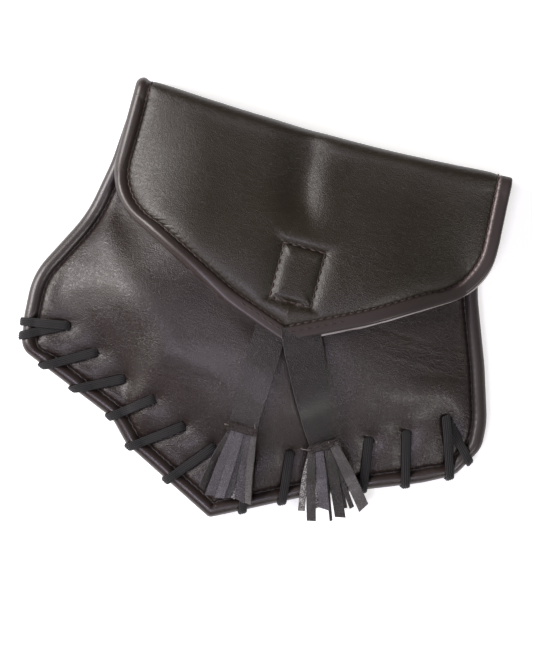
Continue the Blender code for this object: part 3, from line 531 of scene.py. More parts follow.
def dimples(across, down):
    """Share of the pocket's depth that the lace leaves, at its holes and along their row."""
    off_row = np.full(np.shape(across), np.inf)
    for start, leg in zip(HOLES[:-1], np.diff(HOLES, axis=0)):
        off_row = np.minimum(off_row, off_leg(across, down, start, leg))
    left = 1.0 - DRAWN_SHARE * bell(off_row, DRAWN_WIDTH)
    for hole in HOLES:
        far = np.hypot(across - hole[0], down - hole[1])
        left *= 1.0 - DIMPLE_SHARE * bell(far, DIMPLE_RADIUS)
    return left


def ripple(across, down, size, seed):
    """Smooth unevenness from -1 to 1 with hills about a size apart, the same each time."""
    lattice = np.random.RandomState(seed).uniform(-1.0, 1.0, (64, 64))
    x, y = np.asarray(across) / size + 31.3, np.asarray(down) / size + 17.7
    i, k = np.floor(x).astype(int), np.floor(y).astype(int)
    u, v = x - i, y - k
    u, v = u**3 * (u * (u * 6 - 15) + 10), v**3 * (v * (v * 6 - 15) + 10)

    def at(a, b):
        return lattice[(i + a) % 64, (k + b) % 64]

    near = at(0, 0) * (1 - u) + at(1, 0) * u
    far = at(0, 1) * (1 - u) + at(1, 1) * u
    return near * (1 - v) + far * v


def run_way(slant):
    """Which way a run of the lace goes, at a slant in degrees from straight down."""
    turn = math.radians(slant)
    return np.array([-math.sin(turn), math.cos(turn)])


def edge_hit(hole, run):
    """Where a run from a hole meets the body's outline, and the way out there."""
    far = BODY_LINE - hole
    along_run = far @ run
    aside = np.abs(far @ np.array([run[1], -run[0]]))
    ahead = np.where(along_run > 0, aside, np.inf)
    i = int(np.argmin(ahead))
    i = min(max(i, 1), len(BODY_LINE) - 2)
    leg = BODY_LINE[i + 1] - BODY_LINE[i - 1]
    outward = unit(np.array([-leg[1], leg[0]]))
    return BODY_LINE[i], outward


def lace_turns():
    """Each turn of the lace: its hole, its way out to the edge, and how it shares its hole."""
    turns = []
    for hole, (*_, slants) in zip(HOLES, LACE_HOLES):
        shared = unit(sum(run_way(slant) for slant in slants))
        for nth, slant in enumerate(slants):
            run = run_way(slant)
            edge, outward = edge_hit(hole, run)
            apart = 0.0 if len(slants) == 1 else (nth - 0.5) * (LACE_THICKNESS + CLEARANCE)
            others = [k for k in slants if k != slant]
            spread = math.radians(abs(slant - others[0])) if others else 0.0
            turns.append((hole, edge, outward, run, shared, apart, nth, spread))
    return turns


LACE_TURNS = lace_turns()


def run_press(across, down, width):
    """1 under the runs of the lace on the front, falling to 0 at the sides."""
    pressed = np.zeros(np.shape(across))
    for hole, edge, *_ in LACE_TURNS:
        far = off_leg(across, down, hole, edge - hole)
        pressed = np.maximum(pressed, bell(far, width))
    return pressed


def hole_press(across, down, radius):
    """1 at the lace holes, falling to 0 round them."""
    pressed = np.zeros(np.shape(across))
    for hole in HOLES:
        far = np.hypot(across - hole[0], down - hole[1])
        pressed = np.maximum(pressed, bell(far, radius))
    return pressed


def between_stitches(run, pitch):
    """1 halfway between two stitch holes and 0 at a hole."""
    return np.abs(np.sin(np.pi * run / pitch)) ** 0.8


def seam_detail(inset, run, pitch, fine=SEAM_GATHER):
    """The groove of a topstitched seam, and the small gathers that its stitches make beside it."""
    past = inset - BEAD_WIDTH
    free = between_stitches(run, pitch) - 0.6
    groove = -SEAM_GROOVE * bell(past - 0.0003, 0.0006)
    gathers = fine * free * bell(past - 0.0014, 0.0010)
    on_bead = 0.5 * fine * free * bell(past + 0.0010, 0.0008)
    return groove + gathers + on_bead


def front_face(across, down, inset, run):
    """Height of the front panel's outer face, with its folds, gathers and presses."""
    inner = smooth_step((reach(across, down) - BEAD_WIDTH) / BEAD_WIDTH)
    outside, side = nearest(FLAP_LINE, across, down)
    beside_flap = smooth_step(-side * outside / 0.012)
    soft = folds(BODY_FOLDS, across, down, BODY_WIDTH / 2, BODY_HEIGHT)
    deep = pocket(across, down) * dimples(across, down)
    most = np.where(soft > 0.0, ROOM_UNDER_FLAP + ROOM_BESIDE_FLAP * beside_flap, 0.7 * deep + 1e-5)
    soft = most * np.tanh(soft / most) * inner
    soft += folds(BODY_CREASES, across, down, BODY_WIDTH / 2, BODY_HEIGHT) * inner
    soft += 0.00022 * ripple(across, down, size=0.024, seed=3) * inner
    soft += SETTLED.rise(across, down) * inner
    beside = GROOVE_RISE - 0.0008 * bell(inset / BEAD_WIDTH - 0.92, 0.20)
    level = seam_height(across, down) + SEAM_GAP / 2 + bead(inset, BEAD_RISE, beside)
    level = level + deep + soft
    level += seam_detail(inset, run, BODY_PITCH)
    away = smooth_step((inset - 0.4 * BEAD_WIDTH) / (0.8 * BEAD_WIDTH))
    level -= LACE_PRESS * run_press(across, down, width=0.0036) * away
    level -= HOLE_PRESS * hole_press(across, down, radius=0.0040)
    pinched = run_press(across, down, width=0.0030) * bell(inset / BEAD_WIDTH - 0.5, 0.45, 4)
    return level - LACE_PINCH * pinched


class Sheet:
    """Small rises over a lattice of places, smooth between them; none until it has settled."""

    def __init__(self, low, high, step):
        self.low = low
        self.step = step
        columns = [np.arange(a, b + step / 2, step) for a, b in zip(low, high)]
        self.across, self.down = np.meshgrid(*columns, indexing="ij")
        self.rises = np.zeros(self.across.shape)

    def rise(self, across, down):
        """The rise at places, by cubic curves through the four nearest rows each way."""
        spots = []
        for value, low, count in zip((across, down), self.low, self.rises.shape):
            at = (np.asarray(value, float) - low) / self.step
            at = np.clip(at, 1.0, count - 2.001)
            first = np.floor(at).astype(int)
            t = at - first
            spots.append((first, (
                (-t + 2 * t**2 - t**3) / 2, (2 - 5 * t**2 + 3 * t**3) / 2,
                (t + 4 * t**2 - 3 * t**3) / 2, (-(t**2) + t**3) / 2,
            )))
        (i, by_across), (k, by_down) = spots
        total = np.zeros(np.broadcast(i, k).shape)
        for a in range(4):
            for d in range(4):
                total += by_across[a] * by_down[d] * self.rises[i + a - 1, k + d - 1]
        return total

    def spread(self, values, inside, size):
        """Values averaged over a size, from the places inside alone."""
        reach_by = int(3 * size / self.step)
        weights = np.exp(-((np.arange(-reach_by, reach_by + 1) * self.step / size) ** 2) / 2)
        both = []
        for grid in (np.where(inside, values, 0.0), inside.astype(float)):
            for axis in (0, 1):
                grid = np.apply_along_axis(np.convolve, axis, grid, weights, "same")
            both.append(grid)
        return both[0] / np.maximum(both[1], 1e-9)


SETTLED = Sheet((-0.1080, 0.0300), (0.1080, 0.1830), 0.0020)


def settle_front(
    frames=24, size=10.0, margin=0.0035, seam_margin=0.0080, mouth_margin=0.012,
    finest=0.0026, broadest=0.011, most=0.00035,
):
    """Lets the front panel's sheet, cut a little too wide, find its small folds as cloth.

    It is held at its seam, at the holes and under the lace, and moves size times as large. Only
    folds between finest and broadest are kept, and none is higher than most.
    """
    sheet = SETTLED
    inset, side = nearest(BODY_LINE, sheet.across, sheet.down)
    inset = inset * side
    inside = inset > margin
    level = front_face(sheet.across, sheet.down, np.maximum(inset, 0.0), np.zeros(inset.shape))
    held = (inset < seam_margin) | (sheet.down < MOUTH_OFFSET + mouth_margin)
    held |= hole_press(sheet.across, sheet.down, radius=0.0030) > 0.4
    held |= run_press(sheet.across, sheet.down, width=0.0022) > 0.5
    number = np.full(inside.shape, -1)
    number[inside] = np.arange(inside.sum())
    corners = np.stack([number[:-1, :-1], number[:-1, 1:], number[1:, 1:], number[1:, :-1]], -1)
    corners = corners.reshape(-1, 4)
    places = np.stack([sheet.across, -sheet.down, level], axis=-1)[inside] * size
    mesh = bpy.data.meshes.new("settling")
    mesh.from_pydata(places.tolist(), [], corners[corners.min(axis=1) >= 0].tolist())
    cloth_piece = linked("settling", mesh)
    group = cloth_piece.vertex_groups.new(name="held")
    group.add(number[inside & held].tolist(), 1.0, "REPLACE")
    cloth = cloth_piece.modifiers.new("cloth", "CLOTH")
    for key, value in CLOTH.items():
        setattr(cloth.settings, key, value)
    cloth.settings.effector_weights.gravity = 0.0
    cloth.point_cache.frame_start = 1
    cloth.point_cache.frame_end = frames
    for number_of_frame in range(1, frames + 1):
        bpy.context.scene.frame_set(number_of_frame)
    graph = bpy.context.evaluated_depsgraph_get()
    settled = bpy.data.meshes.new_from_object(cloth_piece.evaluated_get(graph))
    ends = np.empty(len(settled.vertices) * 3)
    settled.vertices.foreach_get("co", ends)
    moved = np.zeros(inside.shape)
    moved[inside] = ends.reshape(-1, 3)[:, 2] / size - level[inside]
    bpy.data.objects.remove(cloth_piece)
    bpy.data.meshes.remove(settled)
    bpy.data.meshes.remove(mesh)
    bpy.context.scene.frame_set(1)
    folded = sheet.spread(moved, inside, finest) - sheet.spread(moved, inside, broadest)
    small = np.where(inside, folded, 0.0)
    sheet.rises = most * np.tanh(small / most)


def back_face(across, down, inset, run):
    """Height of the back panel's outer face, whose bead fades out under the flap's overlap."""
    rolled = smooth_step((down - BACK_BEAD_OFFSET) / (3 * BEAD_WIDTH))
    rise = PANEL_WALL + (BEAD_RISE - PANEL_WALL) * rolled
    level = seam_height(across, down) - SEAM_GAP / 2 - bead(inset, rise, PANEL_WALL)
    inner = smooth_step((reach(across, down) - BEAD_WIDTH) / BEAD_WIDTH)
    level -= 0.8 * seam_detail(inset, run, BODY_PITCH) * rolled
    return level + 0.00010 * ripple(across, down, size=0.016, seed=11) * inner


def cover(across, down):
    """Smooth surface that lies on the front panel and its bead, and droops past the edge."""
    inset, side = nearest(BODY_LINE, across, down)
    lying = SEAM_GAP / 2 + GROOVE_RISE + pocket(across, down)
    beads = SEAM_GAP / 2 + BEAD_RISE
    raised = (lying**4 + beads**4) ** 0.25
    outside = np.where(side < 0, inset, 0.0)
    past = np.where(side < 0, beads - FRINGE_DROOP * outside, raised)
    return np.where(side < 0, RIM_HEIGHT, seam_height(across, down)) + past


def flap_sheet(across, down):
    """Height of the flap's working surface over the front, a lift above what it lies on."""
    lying = SEAM_GAP / 2 + GROOVE_RISE + pocket(across, down)
    beads = SEAM_GAP / 2 + BEAD_RISE
    raised = (lying**3 + beads**3) ** (1 / 3)
    soft = folds(FLAP_FOLDS, across, down, FLAP_WIDTH / 2, FLAP_HEIGHT, FLAP_SIDE_OFFSET)
    return seam_height(across, down) + raised + FLAP_LIFT + soft


def fold_line(across):
    """How far the top of the fold dips below its ends."""
    share = (across - FLAP_SIDE_OFFSET) / (FLAP_WIDTH / 2)
    return FOLD_DIP * np.clip(1.0 - share**2, 0.0, 1.0)


FOLD_START = FOLD_REACH + (1 - INNER_SHARE) * FLAP_WALL
FOLD_ARC = np.pi * (FOLD_REACH + POCKET_DEPTH * POCKET_TOP_SHARE) / 2


def squarer(share):
    """A share of a turn's sine or cosine, fuller, so that the turn is squarer than round."""
    return np.sign(share) * np.abs(share) ** FOLD_SQUARE


def flap_place(across, down):
    """A place of the flap's sheet in space, where down runs on past the fold as negative."""
    start = fold_line(across) + FOLD_START
    over_front = np.maximum(down, FOLD_START) + fold_line(across) * np.exp(
        -np.maximum(down - FOLD_START, 0.0) / FOLD_START
    )
    top = flap_sheet(across, over_front)
    front_start = flap_sheet(across, start)
    under = seam_height(across, start) - BACK_OUTER - CLEARANCE - INNER_SHARE * FLAP_WALL
    turned = np.clip((FOLD_START - down) / FOLD_ARC, 0.0, 1.0) * np.pi
    behind = np.maximum(FOLD_START - FOLD_ARC - down, 0.0)
    middle, half = (front_start + under) / 2, (front_start - under) / 2
    height = np.where(down >= FOLD_START, top, middle + half * squarer(np.cos(turned)))
    place = np.where(
        down >= FOLD_START, over_front, start - FOLD_REACH * squarer(np.sin(turned)) + behind
    )
    return np.stack([across, -place, height], axis=-1)


def side_at(line, down, left):
    """Across of a line's left or right side at a row of downs."""
    foot = int(np.argmax(line[:, 1]))
    side = line[: foot + 1] if left else line[foot:][::-1]
    return np.interp(down, side[:, 1], side[:, 0])


def fan_part(line, down):
    """The part of a line below down, with its ends at down."""
    inside = line[line[:, 1] > down]
    ends = [(side_at(line, down, left), down) for left in (True, False)]
    return np.vstack([ends[0], inside, ends[1]])


EDGE_INSETS = np.array(
    (0.0, 0.010, 0.045, 0.11, 0.20, 0.32, 0.46, 0.60, 0.72, 0.82, 0.90, 0.96, 1.0, 1.05)
) * BEAD_WIDTH
NEAR_INSETS = BEAD_WIDTH + np.array((0.6, 0.9, 1.3, 1.8, 2.4, 3.1, 4.0, 5.0, 6.2, 7.6, 9.2)) * MM
INSETS = np.concatenate([EDGE_INSETS, NEAR_INSETS])


def ray_grid(line, rows, spine_down, fan_count, middle, inner_count=30):
    """Places on rays from an outline to a spine, each place's inset, and each ray's run.

    The run is the length along the seam from the first ray's.
    """
    left = np.column_stack([side_at(line, rows, True), rows])
    right = np.column_stack([side_at(line, rows, False), rows])
    fan = along(fan_part(line, spine_down), fan_count, 0.004)
    edge = np.vstack([left, fan, right[::-1]])
    spine = np.column_stack([np.full(len(edge), middle), np.minimum(edge[:, 1], spine_down)])
    ahead = np.gradient(edge, axis=0)
    inward = unit(np.column_stack([ahead[:, 1], -ahead[:, 0]]))
    ray = spine - edge
    length = np.linalg.norm(ray, axis=1)
    slope = np.clip(np.sum(ray / length[:, None] * inward, axis=1), 0.5, 1.0)
    grid = [edge + ray * (inset / slope / length)[:, None] for inset in INSETS]
    rim = grid[-1]
    inset_grid = [np.full(len(edge), inset) for inset in INSETS]
    for share in np.linspace(0.0, 1.0, inner_count + 1)[1:]:
        grid.append(rim + (spine - rim) * share)
        inset_grid.append(INSETS[-1] + np.linalg.norm(spine - rim, axis=1) * share)
    places = np.stack(grid, axis=1)
    seam = places[:, len(EDGE_INSETS) - 2]
    run = np.repeat(gone_along(seam)[:, None], places.shape[1], axis=1)
    return places, np.stack(inset_grid, axis=1), run


def whole_pitch(length):
    """The stitch pitch nearest the usual one that divides a seam's length."""
    return length / round(length / STITCH_PITCH)


body_rows = np.linspace(MOUTH_OFFSET, BODY_SPINE_OFFSET, 126)[:-1]
FRONT_GRID = ray_grid(BODY_LINE, body_rows, BODY_SPINE_OFFSET, fan_count=500, middle=0.0)
BODY_PITCH = whole_pitch(FRONT_GRID[2][-1, 0])
settle_front()


# Shaders


class Value:
    """A socket in a shader tree. Sums and products of values add Math nodes."""

    def __init__(self, finish, socket):
        self.finish = finish
        self.socket = socket

    def maths(self, operation, *others):
        return self.finish.node("ShaderNodeMath", {"operation": operation}, dict(enumerate(others)))

    def __add__(self, other):
        return self.maths("ADD", self, other)

    __radd__ = __add__

    def __sub__(self, other):
        return self.maths("SUBTRACT", self, other)

    def __rsub__(self, other):
        return self.maths("SUBTRACT", other, self)

    def __mul__(self, other):
        return self.maths("MULTIPLY", self, other)

    __rmul__ = __mul__

    def __abs__(self):
        return self.maths("ABSOLUTE", self)

    def sine(self):
        return self.maths("SINE", self)

    def wave(self):
        """0 to 1 and back, once for each TURN."""
        return self.sine() * 0.5 + 0.5

    def at_most(self, other):
        return self.maths("MINIMUM", self, other)

    def rising(self, low, high):
        """0 below low and 1 above high, smooth between."""
        return self.finish.node(
            "ShaderNodeMapRange",
            {"interpolation_type": "SMOOTHSTEP"},
            {"Value": self, "From Min": low, "From Max": high},
        )


class Finish:
    """A material being made, whose nodes are added by node()."""

    def __init__(self, name):
        self.material = bpy.data.materials.new(name)
        self.material.use_nodes = True
        self.tree = self.material.node_tree
        self.tree.nodes.clear()

    def node(self, kind, settings=None, sockets=None, output=0):
        """Adds a node with its settings and its sockets' values or links, and gives an output."""
        made = self.tree.nodes.new(kind)
        for key, value in (settings or {}).items():
            if key == "stops":
                ramp = made.color_ramp
                for index, (place, colour) in enumerate(value):
                    stop = ramp.elements[index] if index < 2 else ramp.elements.new(place)
                    stop.position = place
                    stop.color = (*colour, 1.0)
            else:
                setattr(made, key, value)
        for key, value in (sockets or {}).items():
            if isinstance(value, Value):
                self.tree.links.new(value.socket, made.inputs[key])
            elif isinstance(value, tuple) and made.inputs[key].type == "RGBA":
                made.inputs[key].default_value = (*value, 1.0)
            else:
                made.inputs[key].default_value = value
        return Value(self, made.outputs[output])

    def place(self):
        """Where a point is, in metres."""
        return self.node("ShaderNodeTexCoord", output="Object")

    def uv(self):
        """Across and along a strip, in metres, from its own map."""
        return self.node("ShaderNodeUVMap", {"uv_map": "strip"})

    def attribute(self, name):
        """A number kept on the mesh."""
        return self.node("ShaderNodeAttribute", {"attribute_name": name}, output="Fac")

    def parts(self, vector):
        """The three parts of a vector."""
        split = self.node("ShaderNodeSeparateXYZ", sockets={0: vector}).socket.node
        return [Value(self, split.outputs[i]) for i in range(3)]

    def stretched(self, vector, factors):
        """A vector times factors, part by part."""
        return self.node(
            "ShaderNodeVectorMath", {"operation": "MULTIPLY"}, {0: vector, 1: factors}
        )

    def shifted(self, vector, other):
        """The sum of two vectors."""
        return self.node("ShaderNodeVectorMath", {"operation": "ADD"}, {0: vector, 1: other})

    def noise(self, vector, scale, detail=2.0, roughness=0.5, distortion=0.0):
        """Soft noise about 0.5."""
        return self.node(
            "ShaderNodeTexNoise",
            sockets={
                "Vector": vector,
                "Scale": scale,
                "Detail": detail,
                "Roughness": roughness,
                "Distortion": distortion,
            },
        )

    def cells(self, vector, scale, feature="F1"):
        """Distances within cells."""
        return self.node(
            "ShaderNodeTexVoronoi",
            {"feature": feature},
            {"Vector": vector, "Scale": scale},
            "Distance",
        )

    def mix(self, factor, first, second):
        """One colour fading to another."""
        return self.node(
            "ShaderNodeMix", {"data_type": "RGBA"}, {0: factor, 6: first, 7: second}, 2
        )

    def bump(self, height, distance, strength=1.0, normal=None):
        """A normal from a height between 0 and 1, over a distance in metres."""
        sockets = {"Height": height, "Distance": distance, "Strength": strength}
        if normal is not None:
            sockets["Normal"] = normal
        return self.node("ShaderNodeBump", sockets=sockets)

    def shade(self, **sockets):
        """Ends the material in a Principled shader, its sockets named with _ for a space."""
        named = {key.replace("_", " "): value for key, value in sockets.items()}
        shader = self.node("ShaderNodeBsdfPrincipled", sockets=named)
        surface = self.tree.nodes.new("ShaderNodeOutputMaterial").inputs["Surface"]
        self.tree.links.new(shader.socket, surface)
        return self.material


# Colour of toned leather at each tone
TONES = (
    (0.0, (0.0095, 0.0055, 0.0045)),
    (0.2, (0.0145, 0.0102, 0.0106)),
    (0.4, (0.0340, 0.0300, 0.0260)),
    (0.6, (0.0760, 0.0705, 0.0680)),
    (0.8, (0.0470, 0.0430, 0.0510)),
    (1.0, (0.0760, 0.0680, 0.0830)),
)


def leather_finish(
    name, dark, light, edge, roughness, grain, wrinkled=False, toned=False, taped=False
):
    """Smooth coated leather with a fine pebbled grain, worn a little along its rolled edges.

    A toned one takes its colour from TONES by the mesh's own tone, with painted glints on its
    pebbles. A taped one has the mesh's own marks of a flat bound edge, and of the edge's inner
    ridge, which carries a painted highlight.
    """
    made = Finish(name)
    where = made.place()
    grained = made.stretched(where, (1.0, 1.25, 1.0))
    swirl = made.noise(where, 260.0, 2.0)
    swirls = made.node("ShaderNodeCombineXYZ", sockets={0: swirl, 1: swirl, 2: swirl})
    bent = made.shifted(grained, made.stretched(swirls, (0.0009, -0.0009, 0.0006)))
    pebbles = made.cells(bent, 1250.0, "DISTANCE_TO_EDGE").rising(0.0, 0.34)
    fine = made.noise(bent, 2600.0, 2.0, 0.6)
    tone = made.attribute("tone")
    lines = abs(made.noise(made.stretched(where, (0.35, 1.0, 0.6)), 620.0, 3.0, 0.6, 0.6) - 0.5)
    lines = lines.rising(0.0, 0.10)
    rim = made.attribute("rim")
    patches = made.noise(where, 38.0, 3.0, 0.6)
    height = pebbles * 0.55 + fine * 0.30 + lines * 0.35
    normal = made.bump(height * (1.0 - 0.6 * rim), grain)
    if wrinkled:
        creased = made.attribute("wrinkle")
        rows = made.noise(made.stretched(where, (0.42, 1.0, 0.5)), 330.0, 3.0, 0.62, 0.6)
        rows = abs(rows - 0.5).rising(0.0, 0.16)
        normal = made.bump(rows * creased, 0.00055, 0.9, normal)
    colour = made.mix(patches.rising(0.30, 0.72), dark, light)
    if toned:
        ramp = made.node("ShaderNodeValToRGB", {"stops": TONES}, {"Fac": tone})
        colour = made.mix(0.85, colour, ramp)
        # Pale specks on the pebbles of toned leather: painted glints of light on its grain
        pebble_glints = 1.0 - made.cells(bent, 1500.0).rising(0.15, 0.50)
        colour = made.mix(pebble_glints * tone.rising(0.15, 0.90) * 0.45, colour, (0.20, 0.185, 0.205))
    colour = made.mix(rim * 0.85, colour, edge)
    worn = rim * made.noise(where, 420.0, 3.0, 0.7).rising(0.56, 0.80)
    colour = made.mix(worn * 0.30, colour, tuple(min(1.0, 1.8 * c) for c in edge))
    # Darker in the hollows between the pebbles: painted shade
    colour = made.mix((1.0 - pebbles) * 0.35, colour, tuple(0.45 * c for c in dark))
    rough = roughness + 0.04 * (patches - 0.5) + 0.06 * fine + 0.03 * rim
    if taped:
        tape, ridge = made.attribute("tape"), made.attribute("ridge")
        colour = made.mix(tape * (0.55 + 0.45 * fine), colour, (0.0200, 0.0115, 0.0100))
        # Painted highlight: a pale colour along the flat edge's inner ridge, broken up by noise
        broken = made.noise(where, 900.0, 3.0, 0.7).rising(0.35, 0.60)
        colour = made.mix(ridge * (0.25 + 0.75 * broken), colour, (0.27, 0.215, 0.20))
        rough = rough + 0.32 * tape
    return made.shade(
        Base_Color=colour, Roughness=rough, Normal=normal, Specular_IOR_Level=0.5,
        Coat_Weight=0.10 + 0.22 * rim, Coat_Roughness=0.30,
    )


def fabric_finish(name, light, dark, thread=0.00042):
    """A plain knit backing, seen where leather is turned or cut: pale on the raised crossings of
    its yarns and dark between them, with pale speckle.
    """
    made = Finish(name)
    where = made.place()
    x, y, _ = made.parts(made.stretched(where, (1 / thread,) * 3))
    warp = (x * TURN).wave()
    weft = (y * TURN + (x * (TURN / 2)).sine() * 0.8).wave()
    fibre = made.noise(where, 3200.0, 2.0, 0.7)
    knots = made.cells(where, 1500.0)
    height = warp * weft * 0.7 + fibre * 0.5
    speckle = made.noise(where, 1500.0, 2.0, 0.6).rising(0.40, 0.62)
    colour = made.mix((warp * weft * 0.55 + speckle * 0.6).at_most(1.0), dark, light)
    colour = made.mix(knots.rising(0.35, 0.75) * 0.45, colour, dark)
    return made.shade(
        Base_Color=colour, Roughness=0.85, Normal=made.bump(height, 0.00018),
        Specular_IOR_Level=0.25, Sheen_Weight=0.25, Sheen_Roughness=0.5,
    )


def thread_finish(name, dark, light):
    """Twisted sewing thread."""
    made = Finish(name)
    where = made.place()
    twist = made.noise(where, 1900.0, 2.0, 0.6)
    shade = made.noise(where, 240.0, 2.0)
    colour = made.mix(twist.rising(0.35, 0.65) * 0.7 + shade * 0.3, dark, light)
    return made.shade(
        Base_Color=colour, Roughness=0.62 + 0.15 * twist, Normal=made.bump(twist, 0.00012),
        Specular_IOR_Level=0.4, Sheen_Weight=0.3, Sheen_Roughness=0.45,
    )


def lace_finish(name):
    """Black flat lace, ribbed along its length, with a fine slanting weave."""
    made = Finish(name)
    across, down_lace, _ = made.parts(made.uv())
    where = made.place()
    ribs = (across * (TURN / 0.00075)).wave()
    slant = ((down_lace * (TURN / 0.0011)) + (across * (TURN / 0.0016))).wave()
    fuzz = made.noise(where, 2400.0, 2.0, 0.7)
    height = ribs * 0.55 + slant * 0.35 + fuzz * 0.4
    # Lighter on the ribs' crests and darker in their grooves: painted light and shade, mottled by
    # fuzz
    colour = made.mix(ribs * 0.6 + fuzz * 0.4, (0.0070, 0.0068, 0.0070), (0.0215, 0.0210, 0.0215))
    return made.shade(
        Base_Color=colour, Roughness=0.78 + 0.12 * fuzz, Normal=made.bump(height, 0.00022),
        Specular_IOR_Level=0.30, Sheen_Weight=0.12, Sheen_Roughness=0.5,
    )


def hook_finish(name):
    """Black hook tape."""
    made = Finish(name)
    where = made.place()
    hooks = made.cells(where, 1200.0)
    # Darker between the hooks, where the tape lies low: painted shade
    colour = made.mix(hooks, (0.020, 0.019, 0.020), (0.004, 0.004, 0.005))
    return made.shade(
        Base_Color=colour, Roughness=0.7 + 0.2 * hooks, Normal=made.bump(1.0 - hooks, 0.0004)
    )


LEATHER = leather_finish(
    "leather", (0.0160, 0.0092, 0.0076), (0.0205, 0.0120, 0.0098), (0.0240, 0.0150, 0.0130),
    roughness=0.335, grain=0.00012, wrinkled=True, taped=True,
)
FLAP_LEATHER = leather_finish(
    "flap_leather", (0.0155, 0.0106, 0.0048), (0.0200, 0.0136, 0.0064), (0.0320, 0.0200, 0.0180),
    roughness=0.40, grain=0.00010, taped=True,
)
STRAP_LEATHER = leather_finish(
    "strap_leather", (0.0170, 0.0130, 0.0125), (0.0220, 0.0165, 0.0160), (0.024, 0.018, 0.017),
    roughness=0.46, grain=0.00026, toned=True,
)
LINING = leather_finish(
    "lining_leather", (0.38, 0.340, 0.320), (0.56, 0.520, 0.500), (0.060, 0.045, 0.040),
    roughness=0.60, grain=0.00010,
)
BACKING = fabric_finish(
    "fabric_backing", (0.52, 0.50, 0.49), (0.030, 0.026, 0.025), thread=0.00078
)
POCKET_BACKING = fabric_finish("pocket_backing", (0.060, 0.050, 0.045), (0.014, 0.011, 0.010))
THREAD = thread_finish("brown_thread", (0.014, 0.008, 0.006), (0.080, 0.050, 0.041))
DARK_THREAD = thread_finish("dark_brown_thread", (0.010, 0.006, 0.005), (0.045, 0.028, 0.023))
BLACK_THREAD = thread_finish("black_thread", (0.005, 0.004, 0.004), (0.030, 0.023, 0.021))
PALE_THREAD = thread_finish("pale_thread", (0.20, 0.17, 0.15), (0.55, 0.50, 0.46))
LACE = lace_finish("black_lace")
HOOKS = hook_finish("hook_tape")
# The straps' and strips' sides and cut ends, made dark as painted shade for the thin dark lines
# between the strips
PAINTED_SHADE_EDGE = thread_finish("painted_shade_edge", (0.007, 0.0055, 0.0050), (0.020, 0.016, 0.014))


# Meshes


def placed(points):
    """Points of the pouch's own place in the frame's metres."""
    return np.asarray(points, float) + ORIGIN


def object_of(name, bm, finishes):
    """An object of a bmesh, smooth, with its finishes."""
    mesh = bpy.data.meshes.new(name)
    bm.to_mesh(mesh)
    bm.free()
    mesh.shade_smooth()
    for finish in finishes:
        mesh.materials.append(finish)
    return linked(name, mesh)


def add_piece(name, bm, finishes):
    """An object of a bmesh, with its faces turned outwards."""
    bmesh.ops.recalc_face_normals(bm, faces=bm.faces)
    return object_of(name, bm, finishes)


def shell(name, outer, inner, marks, finishes, inner_step=3):
    """A closed skin over rays by columns of points, from the edge to the spine and back inside.

    marks are numbers for each outer point, kept as attributes of the mesh. The faces inside take
    the second finish.
    """
    rays, columns = outer.shape[:2]
    kept = sorted({*range(0, columns, inner_step), columns - 1})
    bm = bmesh.new()
    layers = {key: bm.verts.layers.float.new(key) for key in marks}
    outside = [[bm.verts.new(p) for p in row] for row in placed(outer)]
    inside = [[bm.verts.new(row[k]) for k in kept] for row in placed(inner)]
    for key, values in marks.items():
        for i in range(rays):
            for k in range(columns):
                outside[i][k][layers[key]] = float(values[i, k])
            for nth, k in enumerate(kept):
                inside[i][nth][layers[key]] = float(values[i, k])

    def face(corners, index):
        made = bm.faces.new(corners)
        made.material_index = index

    for i in range(rays - 1):
        for k in range(columns - 1):
            face((outside[i][k], outside[i][k + 1], outside[i + 1][k + 1], outside[i + 1][k]), 0)
        for k in range(len(kept) - 1):
            face((inside[i][k], inside[i + 1][k], inside[i + 1][k + 1], inside[i][k + 1]), 1)
        face((outside[i][0], outside[i + 1][0], inside[i + 1][0], inside[i][0]), 0)
    for i in (0, rays - 1):
        for nth, (start, end) in enumerate(zip(kept, kept[1:])):
            face((*outside[i][start : end + 1], inside[i][nth + 1], inside[i][nth]), 0)
    bmesh.ops.remove_doubles(bm, verts=bm.verts, dist=1e-5)
    bmesh.ops.dissolve_degenerate(bm, edges=bm.edges, dist=1e-6)
    return add_piece(name, bm, finishes)


def sweep(name, centres, ups, sections, finishes, kinds=None, tone=0.5):
    """A closed body along a path, from one section of (aside, up) or one for each point.

    kinds gives the finish of the face after each point of the section. The map "strip" holds
    across and along in metres, and "tone" one number for all of it.
    """
    centres, ups = np.asarray(centres, float), np.asarray(ups, float)
    sections = np.asarray(sections, float)
    ahead = unit(np.gradient(centres, axis=0))
    aside = unit(np.cross(ahead, ups))
    up = np.cross(aside, ahead)
    if sections.ndim == 2:
        sections = np.broadcast_to(sections, (len(centres), *sections.shape))
    rings = (
        centres[:, None]
        + aside[:, None] * sections[:, :, :1]
        + up[:, None] * sections[:, :, 1:]
    )
    gone = gone_along(centres)
    count = sections.shape[1]
    bm = bmesh.new()
    layer = bm.loops.layers.uv.new("strip")
    toned = bm.verts.layers.float.new("tone")
    made = [[bm.verts.new(p) for p in ring] for ring in placed(rings)]
    for i in range(len(made) - 1):
        for k in range(count):
            nxt = (k + 1) % count
            face = bm.faces.new((made[i][k], made[i][nxt], made[i + 1][nxt], made[i + 1][k]))
            face.material_index = kinds[k] if kinds else 0
            for loop, (ring, at) in zip(face.loops, ((i, k), (i, nxt), (i + 1, nxt), (i + 1, k))):
                loop[layer].uv = (sections[ring, at, 0], gone[ring])
    for ring in (made[0], made[-1]):
        cap = bm.faces.new(ring)
        cap.material_index = max(kinds) if kinds else 0
    for vertex in bm.verts:
        vertex[toned] = tone
    made = add_piece(name, bm, finishes)
    made.data.set_sharp_from_angle(angle=math.radians(28))
    return made


